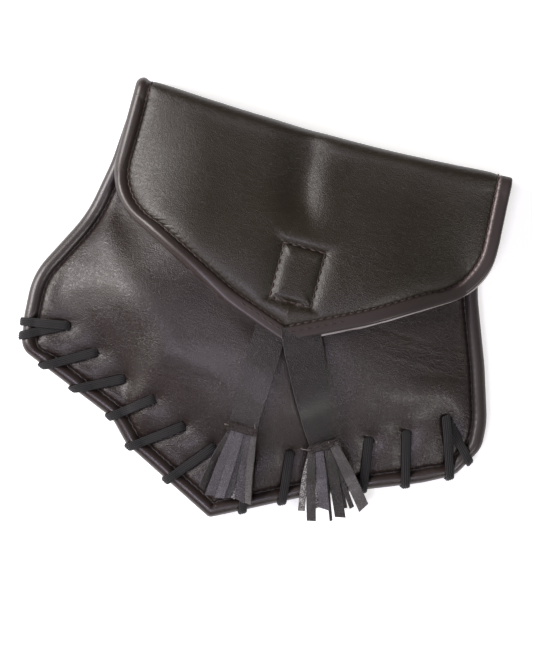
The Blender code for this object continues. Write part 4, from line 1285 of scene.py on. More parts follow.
def strip_section(half_width, half_thickness, columns, crown=0.0, bevel=0.00008):
    """A flat strip's section with crisp edges, and 0, 1 or 2 for its top, its bottom or a side."""
    points, kinds = [], []
    shares = np.linspace(-1.0, 1.0, columns + 1)
    side = half_thickness - bevel
    for way, kind in ((1, 0), (-1, 1)):
        for share in shares[::way]:
            level = way * half_thickness + crown * (1 - share**2)
            points.append((share * (half_width - bevel), level))
        points += [(way * half_width, way * side), (way * half_width, -way * side)]
        kinds += [kind] * columns + [2, 2, 2]
    return np.array(points), kinds


def smooth_path(points, looks, steps):
    """A path and its looks through points, each leg cut into steps on a smooth curve."""
    points, looks = np.asarray(points, float), np.asarray(looks, float)
    padded = np.vstack([2 * points[0] - points[1], points, 2 * points[-1] - points[-2]])
    made, turned = [], []
    for i in range(len(points) - 1):
        a, b, c, d = padded[i : i + 4]
        knots = [0.0]
        for p, q in ((a, b), (b, c), (c, d)):
            knots.append(knots[-1] + max(np.linalg.norm(q - p), 1e-6) ** 0.5)
        for k in range(steps):
            t = knots[1] + (knots[2] - knots[1]) * k / steps

            def between(p, q, low, high):
                return p + (q - p) * (t - low) / (high - low)

            ab = between(a, b, knots[0], knots[1])
            bc = between(b, c, knots[1], knots[2])
            cd = between(c, d, knots[2], knots[3])
            abc = between(ab, bc, knots[0], knots[2])
            bcd = between(bc, cd, knots[1], knots[3])
            made.append(between(abc, bcd, knots[1], knots[2]))
            turned.append(looks[i] + (looks[i + 1] - looks[i]) * smooth_step(k / steps))
    made.append(points[-1])
    turned.append(looks[-1])
    return np.array(made), unit(np.array(turned))


def tree_of(obj):
    """The faces of a piece, for measuring how high it lies, in the pouch's own place."""
    bm = bmesh.new()
    bm.from_mesh(obj.data)
    bmesh.ops.translate(bm, verts=bm.verts, vec=Vector(-ORIGIN))
    tree = BVHTree.FromBMesh(bm)
    bm.free()
    return tree


def level_over(tree, place, radius, top=True):
    """The highest level of a piece within a radius of a place, or its lowest, or None off it."""
    levels = []
    start, way = (1.0, -1.0) if top else (-1.0, 1.0)
    for k in range(13):
        angle = k * 2 * math.pi / 6
        far = 0.0 if k == 12 else radius * (1.0 if k < 6 else 0.55)
        spot = Vector((place[0] + far * math.cos(angle), -place[1] - far * math.sin(angle), start))
        hit = tree.ray_cast(spot, Vector((0.0, 0.0, way)))[0]
        if hit is not None:
            levels.append(hit.z)
    return (max if top else min)(levels, default=None)


def dress(piece, slot, *nodes):
    """Puts a finished piece on the pouch's one body, for the nodes that it stands for."""
    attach(piece, "root")
    if nodes:
        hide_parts(*nodes)


# Stitches, made by Geometry Nodes along a line of points that know which way is up


def stitch_tree():
    """Rounded stitches, one after another along a line, sunk into the leather at both ends."""
    tree = bpy.data.node_groups.new("stitch_row", "GeometryNodeTree")
    inputs = {}
    for name, kind in (
        ("Line", "NodeSocketGeometry"),
        ("Count", "NodeSocketInt"),
        ("Length", "NodeSocketFloat"),
        ("Radius", "NodeSocketFloat"),
        ("Rise", "NodeSocketFloat"),
        ("Unevenness", "NodeSocketFloat"),
        ("Turn", "NodeSocketFloat"),
        ("Thread", "NodeSocketMaterial"),
    ):
        inputs[name] = tree.interface.new_socket(name, in_out="INPUT", socket_type=kind).identifier
    tree.interface.new_socket("Stitches", in_out="OUTPUT", socket_type="NodeSocketGeometry")

    def node(kind, settings=None, sockets=None):
        made = tree.nodes.new(kind)
        for key, value in (settings or {}).items():
            setattr(made, key, value)
        for key, value in (sockets or {}).items():
            if isinstance(value, bpy.types.NodeSocket):
                tree.links.new(value, made.inputs[key])
            else:
                made.inputs[key].default_value = value
        return made

    def maths(operation, first, second):
        made = node("ShaderNodeMath", {"operation": operation}, {0: first, 1: second})
        return made.outputs[0]

    given = node("NodeGroupInput").outputs
    curve = node("GeometryNodeMeshToCurve", sockets={0: given["Line"]})
    spaced = node("GeometryNodeResampleCurve", sockets={
        "Curve": curve.outputs[0], "Count": given["Count"],
    })
    half = maths("MULTIPLY", given["Length"], 0.5)
    back = maths("MULTIPLY", given["Length"], -0.5)
    sunk = maths("MULTIPLY", given["Radius"], -1.4)
    start = node("ShaderNodeCombineXYZ", sockets={0: back, 2: sunk})
    top = node("ShaderNodeCombineXYZ", sockets={2: given["Rise"]})
    end = node("ShaderNodeCombineXYZ", sockets={0: half, 2: sunk})
    arc = node("GeometryNodeCurveQuadraticBezier", sockets={
        "Resolution": 7, "Start": start.outputs[0], "Middle": top.outputs[0], "End": end.outputs[0],
    })
    ring = node("GeometryNodeCurvePrimitiveCircle", sockets={
        "Resolution": 7, "Radius": given["Radius"],
    })
    stitch = node("GeometryNodeCurveToMesh", sockets={
        "Curve": arc.outputs[0], "Profile Curve": ring.outputs[0], "Fill Caps": True,
    })
    tangent = node("GeometryNodeInputTangent")
    up = node("GeometryNodeInputNamedAttribute", {"data_type": "FLOAT_VECTOR"}, {"Name": "up"})
    onward = node("FunctionNodeAlignRotationToVector", {"axis": "X"}, {
        "Vector": tangent.outputs[0],
    })
    upright = node(
        "FunctionNodeAlignRotationToVector",
        {"axis": "Z", "pivot_axis": "X"},
        {"Rotation": onward.outputs[0], "Vector": up.outputs[0]},
    )
    quarter = node("FunctionNodeAxisAngleToRotation", sockets={
        "Axis": (0.0, 0.0, 1.0), "Angle": given["Turn"],
    })
    upright = node("FunctionNodeRotateRotation", {"rotation_space": "LOCAL"}, {
        "Rotation": upright.outputs[0], "Rotate By": quarter.outputs[0],
    })
    low = maths("SUBTRACT", 1.0, given["Unevenness"])
    high = maths("ADD", 1.0, given["Unevenness"])
    size = node("FunctionNodeRandomValue", {"data_type": "FLOAT"}, {2: low, 3: high, "Seed": 7})
    laid = node("GeometryNodeInstanceOnPoints", sockets={
        "Points": spaced.outputs[0], "Instance": stitch.outputs[0],
        "Rotation": upright.outputs[0], "Scale": size.outputs[1],
    })
    real = node("GeometryNodeRealizeInstances", sockets={0: laid.outputs[0]})
    finished = node("GeometryNodeSetMaterial", sockets={
        "Geometry": real.outputs[0], "Material": given["Thread"],
    })
    node("NodeGroupOutput", sockets={0: finished.outputs[0]})
    return tree, inputs


STITCHES, STITCH_INPUTS = stitch_tree()


def stitch_row(
    name, points, ups, pitch=None, length=STITCH_LENGTH, radius=THREAD_RADIUS, rise=0.0011,
    turn=0.0, unevenness=0.10, thread=THREAD,
):
    """A row of stitches along a line, as a plain mesh, with one way up or one for each point."""
    points = np.asarray(points, float)
    ups = unit(np.broadcast_to(np.asarray(ups, float), points.shape))
    total = np.linalg.norm(np.diff(points, axis=0), axis=1).sum()
    count = max(2, round(total / (pitch or STITCH_PITCH)))
    mesh = bpy.data.meshes.new(name + "_line")
    mesh.from_pydata(
        [tuple(p) for p in placed(points)], [(i, i + 1) for i in range(len(points) - 1)], []
    )
    kept = mesh.attributes.new("up", "FLOAT_VECTOR", "POINT")
    kept.data.foreach_set("vector", ups.astype(np.float32).ravel())
    line = linked(name + "_line", mesh)
    rows = line.modifiers.new("stitches", "NODES")
    rows.node_group = STITCHES
    for key, value in (
        ("Count", count), ("Length", length), ("Radius", radius), ("Rise", rise),
        ("Unevenness", unevenness), ("Turn", turn), ("Thread", thread),
    ):
        rows[STITCH_INPUTS[key]] = value
    graph = bpy.context.evaluated_depsgraph_get()
    mesh = bpy.data.meshes.new_from_object(line.evaluated_get(graph))
    bpy.data.objects.remove(line)
    mesh.name = name
    mesh.shade_smooth()
    return linked(name, mesh)


# Camera, light and floor


def make_camera():
    """Straight above the pouch, turned as the picture is."""
    lens = bpy.data.cameras.new("camera")
    lens.lens = LENS
    seen = IMAGE_HEIGHT / PIXELS_PER_METRE
    far = seen / 2 / (lens.sensor_width / 2 / LENS)
    camera = linked("camera", lens)
    camera.location = placed((PICTURE_ACROSS, -PICTURE_DOWN, SCALE_LEVEL + far))
    camera.rotation_euler = (0.0, 0.0, math.radians(PICTURE_TURN))
    bpy.context.scene.camera = camera


def soft_light(name, picture_way, height, size, power, colour):
    """A soft box that looks at the pouch from a way given in the picture, right and up."""
    x, y = rotated(*picture_way, -math.radians(PICTURE_TURN))
    box = bpy.data.lights.new(name, "AREA")
    box.shape = "RECTANGLE"
    box.size, box.size_y = size
    box.energy = power
    box.color = colour
    made = linked(name, box)
    made.location = (x, y, height)
    made.rotation_euler = (-Vector((x, y, height))).to_track_quat("-Z", "Y").to_euler()


def make_studio():
    """A pale floor, a soft key from the upper left, and weaker fills."""
    world = bpy.data.worlds.new("studio")
    world.use_nodes = True
    background = world.node_tree.nodes["Background"].inputs
    background["Color"].default_value = (1.0, 0.955, 0.90, 1.0)
    background["Strength"].default_value = 0.140
    bpy.context.scene.world = world
    bpy.context.scene.view_settings.view_transform = "Standard"
    soft_light("key", (-1.12, 0.36), 0.78, (0.55, 0.8), 25.7, (1.0, 0.955, 0.95))
    soft_light("low_fill", (-0.26, -0.44), 1.15, (0.30, 0.30), 5.4, (0.86, 0.80, 1.0))
    soft_light("right_fill", (0.70, -0.80), 0.95, (0.35, 0.35), 6.6, (1.0, 0.97, 0.94))
    mesh = bpy.data.meshes.new("floor")
    far, below = 6.0, -0.0003
    corners = ((-far, -far), (far, -far), (far, far), (-far, far))
    mesh.from_pydata([(x, y, below) for x, y in corners], [], [(0, 1, 2, 3)])
    floor = linked("floor", mesh)
    paper = Finish("paper")
    tone = paper.noise(paper.place(), 3.0, 2.0)
    mesh.materials.append(
        paper.shade(
            Base_Color=paper.mix(tone, (0.86, 0.86, 0.87), (0.88, 0.88, 0.88)), Roughness=0.9,
            Emission_Color=(1.0, 1.0, 1.0), Emission_Strength=0.50,
        )
    )


make_camera()
make_studio()


# Pieces


def drop_wall(level, grid_x, grid_down, wall):
    """How far below an upright wall's outer face its inner face is, straight down."""
    slopes = []
    for axis in (0, 1):
        gone = np.hypot(np.gradient(grid_x, axis=axis), np.gradient(grid_down, axis=axis))
        slopes.append(np.gradient(level, axis=axis) / np.maximum(gone, 1e-5))
    slope = np.clip(np.hypot(*slopes), 0.0, 1.2)
    return wall * np.sqrt(1.0 + slope**2)


def rim_mark(inset):
    """1 on a rolled edge and 0 inside it."""
    return 1.0 - smooth_step((inset - 0.95 * BEAD_WIDTH) / (0.2 * BEAD_WIDTH))


def wrinkle_mark(across, down):
    """Where the front panel is finely wrinkled."""
    marks = np.zeros(np.shape(across))
    for x, d, long, high, amount in (
        (0.070, 0.0860, 0.020, 0.0075, 0.30),
        (0.082, 0.0890, 0.012, 0.0035, 0.40),
    ):
        patch = np.exp(-(((across - x) / long) ** 2) - ((down - d) / high) ** 2)
        marks = np.maximum(marks, amount * patch)
    return np.clip(marks + 0.07 * hole_press(across, down, radius=0.0075), 0.0, 1.0)


def slot_middle(hole, shift):
    """Across and down of a hole's middle, and its turn, shifted towards the lace's run."""
    a, d, slants = hole
    turn = math.radians(sum(slants) / len(slants))
    across = a * BODY_WIDTH / 2 - shift * math.sin(turn)
    return across, d * BODY_HEIGHT + shift * math.cos(turn), turn


def hole_cutter(half_long, half_wide, shift):
    """Upright slots through a panel where the lace goes, long across the lace's flat side."""
    bm = bmesh.new()
    for hole in LACE_HOLES:
        made = bmesh.ops.create_cone(
            bm, cap_ends=True, segments=20, radius1=1.0, radius2=1.0, depth=0.09
        )
        across, down, turn = slot_middle(hole, shift)
        grown = 1.6 if len(hole[2]) > 1 else 1.0
        for vertex in made["verts"]:
            x, y = vertex.co.x * half_long, vertex.co.y * half_wide * grown
            vertex.co.x, vertex.co.y = rotated(x, y, turn)
        bmesh.ops.translate(
            bm, verts=made["verts"], vec=Vector(placed((across, -down, 0.01)))
        )
    return add_piece("slots", bm, [LEATHER])


def cut_holes(piece, half_wide, shift, tries=12):
    """Cuts the lace's slots in a panel, again a little wider while one of them isn't open."""
    whole = piece.data
    half_long = SLOT_LENGTH / 2
    for wider in range(tries):
        slots = hole_cutter(half_long + 0.00001 * wider, half_wide + 0.00002 * wider, shift)
        boolean = piece.modifiers.new("slots", "BOOLEAN")
        boolean.operation = "DIFFERENCE"
        boolean.object = slots
        boolean.solver = "EXACT"
        graph = bpy.context.evaluated_depsgraph_get()
        mesh = bpy.data.meshes.new_from_object(piece.evaluated_get(graph))
        piece.modifiers.remove(boolean)
        bpy.data.objects.remove(slots)
        piece.data = mesh
        tree = tree_of(piece)
        middles = [slot_middle(hole, shift)[:2] for hole in LACE_HOLES]
        if all(level_over(tree, middle, 0.0002) is None for middle in middles):
            mesh.name = piece.name
            bpy.data.meshes.remove(whole)
            return
        piece.data = whole
        bpy.data.meshes.remove(mesh)


def column_row(name, points, column, pitch, first=0, last=None, above=0.0002, way=1.0, **sizes):
    """A row of stitches along one column of a panel's grid."""
    line = points[first:last, column]
    ahead = unit(np.gradient(points[:, column], axis=0))[first:last]
    inward = unit(points[:, column + 1] - points[:, column - 1])[first:last]
    ups = way * unit(np.cross(inward, ahead))
    ups = np.where((ups[:, 2] * way)[:, None] < 0, -ups, ups)
    return stitch_row(name, line + ups * above, ups, pitch, **sizes)


seam_column = len(EDGE_INSETS) - 1


def make_front():
    """The front panel's leather, with its lace holes, and the stitches of its rolled edge."""
    places, inset, run = FRONT_GRID
    x, down = places[..., 0], places[..., 1]
    level = front_face(x, down, inset, run)
    floor = seam_height(x, down) + SEAM_GAP / 2
    inner_level = np.maximum(level - drop_wall(level, x, down, PANEL_WALL), floor)
    inner_level[:, 0] = level[:, 0] = floor[:, 0]
    outer = np.stack([x, -down, level], axis=-1)
    inner = np.stack([x, -down, inner_level], axis=-1)
    tape = 0.8 * rim_mark(inset) * smooth_step((x - FRONT_TAPE_ACROSS) / 0.020)
    tape *= 1.0 - smooth_step((down - FRONT_TAPE_END) / 0.010)
    marks = {"rim": rim_mark(inset), "wrinkle": wrinkle_mark(x, down), "tape": tape}
    panel = shell("front_leather", outer, inner, marks, [LEATHER, POCKET_BACKING])
    tree = tree_of(panel)
    cut_holes(panel, half_wide=0.00090, shift=0.00028)
    stitches = column_row(
        "front_stitches", outer, seam_column, BODY_PITCH, above=0.0001, thread=BLACK_THREAD
    )
    dress(panel, "leather", "front_panel")
    dress(stitches, "leather")
    return tree


def make_back():
    """The back panel's leather, and the stitches of its rolled edge."""
    rows = BACK_TOP_OFFSET + (BODY_SPINE_OFFSET - BACK_TOP_OFFSET) * np.linspace(0.0, 1.0, 131)[:-1]
    places, inset, run = ray_grid(BODY_LINE, rows, BODY_SPINE_OFFSET, fan_count=460, middle=0.0)
    x, down = places[..., 0], places[..., 1]
    level = back_face(x, down, inset, run)
    ceiling = seam_height(x, down) - SEAM_GAP / 2
    inner_level = np.minimum(level + drop_wall(level, x, down, PANEL_WALL), ceiling)
    inner_level[:, 0] = level[:, 0] = ceiling[:, 0]
    outer = np.stack([x, -down, level], axis=-1)
    inner = np.stack([x, -down, inner_level], axis=-1)
    marks = {"rim": rim_mark(inset), "wrinkle": 0.3 * hole_press(x, down, radius=0.006)}
    panel = shell("back_leather", outer, inner, marks, [LEATHER, POCKET_BACKING])
    tree = tree_of(panel)
    cut_holes(panel, half_wide=0.00070, shift=0.0)
    first = int(np.searchsorted(rows, BACK_BEAD_OFFSET + BEAD_WIDTH))
    stitches = column_row(
        "back_stitches", outer, seam_column, None, first, len(outer) - first, above=0.0001,
        way=-1.0, thread=BLACK_THREAD,
    )
    dress(panel, "leather", "back_panel")
    dress(stitches, "leather")
    return tree


def box_distance(across, down):
    """Distance from the stitched box's line, whether inside, and 1 by its level sides."""
    dx = np.abs(across - BOX_SIDE_OFFSET) - BOX_WIDTH / 2
    dy = np.abs(down - BOX_OFFSET) - BOX_HEIGHT / 2
    outside = np.hypot(np.maximum(dx, 0.0), np.maximum(dy, 0.0))
    inside = np.minimum(np.maximum(dx, dy), 0.0)
    by_level_side = smooth_step((dy - dx) / 0.005 + 0.5)
    return np.abs(outside + inside), (outside + inside < 0.0), by_level_side


def puckers(across, down):
    """Fine gathers that fan out from the stitched box's corners."""
    total = np.zeros(np.shape(across))
    for to_right, to_foot, count, phase in (
        (1, -1, 9.0, 0.3),
        (1, 1, 8.0, 1.1),
        (-1, 1, 8.0, 2.0),
        (-1, -1, 7.0, 0.9),
    ):
        x = across - (BOX_SIDE_OFFSET + to_right * BOX_WIDTH / 2)
        y = down - (BOX_OFFSET + to_foot * BOX_HEIGHT / 2)
        far = np.hypot(x, y)
        fan = np.sin(np.arctan2(y, x) * count + phase)
        total += fan * smooth_step(far / 0.0015) * np.exp(-far / 0.0048)
    return total


def dent(across, down):
    """Depth of the soft crease from the fold to the stitched box, steeper on its right."""
    aside = across - (-0.0035 + 0.20 * down) - 0.0006 * np.sin(down / 0.006)
    width = np.where(aside < 0.0, 0.0120, 0.0088)
    ends = smooth_step((down + 0.004) / 0.010) * (1.0 - smooth_step((down - 0.034) / 0.018))
    return DENT_DEPTH * bell(np.abs(aside), width, 1.6) * ends


def flap_normals(across, down):
    """Which way the flap's sheet looks at its places."""
    step = 0.0004
    along_x = flap_place(across + step, down) - flap_place(across - step, down)
    along_d = flap_place(across, down + step) - flap_place(across, down - step)
    return unit(np.cross(along_d, along_x))


def edge_round(inset):
    """0 at a sheet's edge, rounding off to 1 a little inside it."""
    return np.clip(inset / 0.0006, 0.0, 1.0) ** 0.5


def flap_outside(across, down, inset, run, pitch):
    """How far the flap's outer face is above its sheet."""
    share = off_bead(inset)
    flat_edge = smooth_step((across + 0.045) / 0.045)
    power = 1.75 + 3.2 * flat_edge
    top = (1 - INNER_SHARE) * FLAP_BEAD - 0.0008 * flat_edge
    past = np.maximum(inset - BEAD_WIDTH, 0.0)
    caught = (1.0 - between_stitches(run, pitch)) * bell(past, 0.0018)
    at_fold = bell(down, 0.006)
    top -= 0.0004 * at_fold
    seam = SEAM_RISE + 0.0015 * at_fold
    high = FOAM_RISE + 0.0003 * at_fold
    foam = seam + (high - seam) * (1.0 - bell(past, FOAM_SHOULDER, 1.15))
    foam -= SEAM_GATHER * (1.0 - 0.85 * flat_edge) * caught * np.clip(past / 0.0006, 0.0, 1.0)
    roll = top * (1.0 - share**power) ** (1 / power)
    rise = np.where(inset < BEAD_WIDTH / 2, roll, np.maximum(roll, foam))
    rolled = smooth_step((down - (FOLD_START - FOLD_ARC)) / (FOLD_ARC / 2))
    flat = (1 - INNER_SHARE) * FLAP_WALL * edge_round(inset)
    away, inside, by_level_side = box_distance(across, down)
    drawn = np.where(inside, BOX_DRAWN_INSIDE, BOX_DRAWN_OUTSIDE) * (1.0 - 0.55 * by_level_side)
    pinch = bell(away, drawn, 1.2)
    rise += (BOX_SEAM_RISE - rise) * pinch * (inset > BEAD_WIDTH)
    gathers = 0.00007 * puckers(across, down) * smooth_step(past / 0.002)
    uneven = 0.00010 * ripple(across, down, size=0.010, seed=21)
    uneven += 0.00030 * ripple(across, down, size=0.030, seed=23)
    rise += gathers + (uneven - dent(across, down)) * smooth_step(past / 0.006)
    rise += seam_detail(inset, run, pitch, fine=0.00024) * (0.5 - 0.15 * flat_edge)
    return flat + (rise - flat) * rolled


def flap_inside(inset):
    """How far the flap's inner face is below its sheet."""
    flat = INNER_SHARE * FLAP_WALL
    roll = INNER_SHARE * FLAP_BEAD * np.sqrt(1.0 - off_bead(inset) ** 2)
    return np.maximum(flat * edge_round(inset), np.where(inset < BEAD_WIDTH, roll, 0.0))


def make_flap():
    """The padded flap and its rows of stitches, and its sheet for the lining."""
    low = FOLD_START - FOLD_ARC - FLAP_OVERLAP
    rows = np.linspace(low, FLAP_SPINE_OFFSET, 120)[:-1]
    line = np.vstack([[FLAP_LINE[0, 0], low], FLAP_LINE, [FLAP_LINE[-1, 0], low]])
    places, inset, run = ray_grid(
        line, rows, FLAP_SPINE_OFFSET, fan_count=350, middle=FLAP_SIDE_OFFSET, inner_count=60
    )
    x, down = places[..., 0], places[..., 1]
    pitch = whole_pitch(run[-1, 0])
    sheet, normal = flap_place(x, down), flap_normals(x, down)
    outer_by = flap_outside(x, down, inset, run, pitch)
    inner_by = flap_inside(inset)
    outer_by[:, 0] = inner_by[:, 0] = 0.0
    outer = sheet + normal * outer_by[..., None]
    inner = sheet - normal * inner_by[..., None]
    tape = rim_mark(inset) * smooth_step((x - FLAP_TAPE_ACROSS) / 0.050)
    tape *= inset < BEAD_WIDTH * 1.1
    # Where the painted highlight on the flat edge's inner ridge lies
    ridge = bell(inset - BEAD_WIDTH + 0.0006, 0.00050)
    ridge *= smooth_step((x - RIDGE_HIGHLIGHT_ACROSS) / 0.012)
    ridge *= 1.0 - smooth_step((down - RIDGE_HIGHLIGHT_END) / 0.010)
    marks = {"rim": rim_mark(inset), "tape": tape, "ridge": ridge}
    flap = shell("flap_leather", outer, inner, marks, [FLAP_LEATHER, POCKET_BACKING])
    first = int(np.searchsorted(rows, FOLD_START - FOLD_ARC * 0.9))
    seam = column_row(
        "flap_stitches", outer, seam_column, None, first, len(outer) - first, above=0.00005
    )
    dress(flap, "leather", "flap")
    dress(seam, "leather")
    near_tip = np.abs(x[:, 0] - TIP_STITCHES_ACROSS) < TIP_STITCHES_REACH
    near_tip = np.nonzero(near_tip & (down[:, 0] > 0.05))[0]
    on_edge = EDGE_INSETS.searchsorted(0.58 * BEAD_WIDTH)
    second = column_row(
        "flap_second_stitches", outer, on_edge, None, near_tip[0], near_tip[-1], above=0.0,
        rise=0.0007, thread=DARK_THREAD,
    )
    dress(second, "leather")
    return sheet, normal, rows


def box_stitches(tree):
    """The stitched box's thread."""
    corners = np.array([(-1, -1), (1, -1), (1, 1), (-1, 1), (-1, -1)], float)
    half = np.array([BOX_WIDTH, BOX_HEIGHT]) / 2
    rows = []
    for nth, (start, end) in enumerate(zip(corners, corners[1:])):
        points = []
        for t in np.linspace(0.06, 0.94, 12):
            place = np.array([BOX_SIDE_OFFSET, BOX_OFFSET]) + (start + (end - start) * t) * half
            level = level_over(tree, place, 0.0002)
            points.append((place[0], -place[1], level + 0.0001))
        rows.append(stitch_row(
            f"box_stitches_{nth}", points, TO_FRONT, pitch=0.0030, length=0.0025
        ))
    return rows


front_tree = make_front()
back_tree = make_back()
flap_grid = make_flap()
flap_tree = tree_of(bpy.data.objects["flap_leather"])
for row in box_stitches(flap_tree):
    dress(row, "leather")


def make_lining(sheet, normal, rows):
    """The edge of the flap's lining, a thin ledge that stands out from under the rolled edge."""
    first = int(np.searchsorted(rows, FOLD_START))
    part = slice(first, len(sheet) - first)
    edge = sheet[part, 0]
    inward = unit(sheet[part, 4] - sheet[part, 0])
    up = normal[part, 0]
    shown = smooth_step((-edge[:, 1:2] - LINING_DOWN) / 0.020)
    shown *= smooth_step((edge[:, :1] - LINING_ACROSS) / 0.012)
    out = edge - inward * (LINING_PROUD * (1.6 * shown - 0.6)) - up * 0.0006
    back = edge + inward * 0.0040 - up * 0.0012
    count = len(edge)
    uneven = 0.00018 * ripple(edge[:, 0], edge[:, 1], size=0.006, seed=41)
    out = out - inward * uneven[:, None]
    half = LINING_THICKNESS / 2
    ring = np.stack([
        back + up * half, out + up * half, out + up * half * 0.3 - inward * 0.0002,
        out - up * half, back - up * half,
    ], axis=1)
    bm = bmesh.new()
    made = [[bm.verts.new(p) for p in row] for row in placed(ring)]
    for i in range(count - 1):
        for k in range(5):
            nxt = (k + 1) % 5
            bm.faces.new((made[i][k], made[i][nxt], made[i + 1][nxt], made[i + 1][k]))
    bm.faces.new(made[0])
    bm.faces.new(made[-1])
    lining = add_piece("flap_lining", bm, [LINING])
    dress(lining, "leather")


make_lining(*flap_grid)


def lace_path(front, back):
    """Points along the lace and which way its flat side looks at each of them."""
    turns = LACE_TURNS
    rise = LACE_GAP + LACE_THICKNESS / 2
    around = BEAD_RISE + SEAM_GAP / 2 + rise
    bend = LACE_BEND * LACE_THICKNESS
    points, looks = [], []

    def put(place, level, across, down, up):
        points.append((place[0], -place[1], float(level)))
        looks.append((across, -down, up))

    def below(index):
        doubled = turns[index][6] > 0 and index > 1
        return LACE_THICKNESS + CLEARANCE if doubled else 0.0

    coming = None
    for index, (hole, edge, outward, run, shared, apart, nth, spread) in enumerate(turns):
        stack = nth * (LACE_THICKNESS + CLEARANCE)
        axis = hole - shared * apart
        feel = LACE_WIDTH / 2
        if coming is None:
            put(axis, float(seam_height(*hole)) + bend, *-shared, 0.0)
        else:
            rim = hole - coming * HOLE_RADIUS
            level = level_over(back, rim, feel, top=False) - rise - below(index)
            put(axis - coming * 2 * bend, level, 0.0, 0.0, -1.0)
            put(axis - coming * bend, level, 0.0, 0.0, -1.0)
            put(axis - coming * bend / 3, level + bend / 3, *coming, -1.0)
            put(axis, level + bend, *unit(coming - shared), 0.0)
        level = level_over(front, hole + run * HOLE_RADIUS, feel) + rise + stack
        put(axis, level - bend, *-shared, 0.0)
        put(axis + run * bend / 3, level - bend / 3, *-run, 1.0)
        put(axis + run * bend, level, 0.0, 0.0, 1.0)
        slope = max(float(run @ outward), 0.5)
        apex = edge + run * (around - BEAD_WIDTH / 2) / slope
        over = apex - run * around / slope
        length = np.linalg.norm(over - hole)
        for share in (0.34, 0.54, 0.72, 0.88):
            place = hole + (over - hole) * share
            aside = share * length * math.tan(spread)
            lying = smooth_step((LACE_WIDTH + 3 * CLEARANCE - aside) / LACE_WIDTH * 3)
            level = level_over(front, place, feel) + rise
            put(place, level + stack * lying, 0.0, 0.0, 1.0)
        last = index + 1 == len(turns)
        following = turns[index] if last else turns[index + 1]
        goal = following[0]
        onward = unit(goal - apex)
        back_slope = max(float(-onward @ outward), 0.5)
        seam = float(seam_height(*edge))
        for degrees in (0, 40, 75, 105, 140, 180):
            turn = math.radians(degrees)
            left = 1.0 - math.sin(turn)
            if degrees <= 90:
                place = apex - run * around / slope * left
            else:
                place = apex + onward * around / back_slope * left
            out = outward * math.sin(turn)
            put(place, seam + around * math.cos(turn), *out, math.cos(turn))
        under = apex + onward * around / back_slope
        coming = -following[4] if following[7] > 0 and not last else onward
        pull = goal - coming * LACE_CURVE * np.linalg.norm(goal - under)
        end = goal - coming * 3 * bend
        for share in (0.12,) if last else (0.32, 0.64):
            place = (
                under * (1 - share) ** 2 + pull * 2 * share * (1 - share) + end * share**2
            )
            lower = 0.0 if last else below(index + 1) * smooth_step(3 * share - 0.6)
            level = level_over(back, place, feel, top=False) - rise
            put(place, level - lower, 0.0, 0.0, -1.0)
    return np.array(points), np.array(looks)


def make_lace(front, back):
    """The flat ribbed lace, swept along its path with its flat side to the leather."""
    points, looks = lace_path(front, back)
    path, ups = smooth_path(points, looks, 4)
    half, thick = LACE_WIDTH / 2, LACE_THICKNESS / 2
    section = []
    shares = np.linspace(-0.82, 0.82, 13)
    for side in (1, -1):
        for share in shares * side:
            ridge = 0.00016 * math.cos(share / 0.82 * 3.5 * math.pi)
            section.append((share * half, side * (thick * (1 - 0.25 * share**2) + ridge - 0.0001)))
        section.append((side * half, 0.0))
    lace = sweep("lace_cord", path, ups, section, [LACE])
    dress(lace, "lace", "lacing")
    return tree_of(lace)


lace_tree = make_lace(front_tree, back_tree)


def strap_line(side, count=12):
    """Centre line and widths of a strap, through the rows of its table."""
    rows = np.array(STRAP_ROWS[side])
    tip = FLAP_LINE[int(np.argmax(FLAP_LINE[:, 1]))]
    downs = np.linspace(0.0, rows[-1, 0], count)
    across = np.interp(downs, rows[:, 0], rows[:, 1])
    widths = np.interp(downs, rows[:, 0], rows[:, 2])
    centres = np.column_stack(
        [tip[0] + across * STRAP_LENGTH, tip[1] - STRAP_HIDDEN + downs * STRAP_LENGTH]
    )
    return centres, widths * STRAP_WIDTH


carriers = [front_tree, lace_tree]


def lying_level(places, radius=0.0012):
    """How high a thing lies on the pouch's front, and on what lies there, at an array of places."""
    levels = np.full(places.shape[:-1], -1.0)
    for tree in carriers:
        found = [level_over(tree, spot, radius) for spot in places.reshape(-1, 2)]
        felt = np.array([level if level is not None else -1.0 for level in found])
        levels = np.maximum(levels, felt.reshape(levels.shape))
    return np.where(levels < 0.0, cover(places[..., 0], places[..., 1]), levels)


def eased(values, width):
    """Values along a path, smoothed over a number of neighbours."""
    weights = np.exp(-((np.arange(-3 * width, 3 * width + 1) / width) ** 2) / 2)
    weights /= weights.sum()
    padded = np.concatenate([
        np.full(3 * width, values[0]), values, np.full(3 * width, values[-1])
    ])
    return np.convolve(padded, weights, "valid")


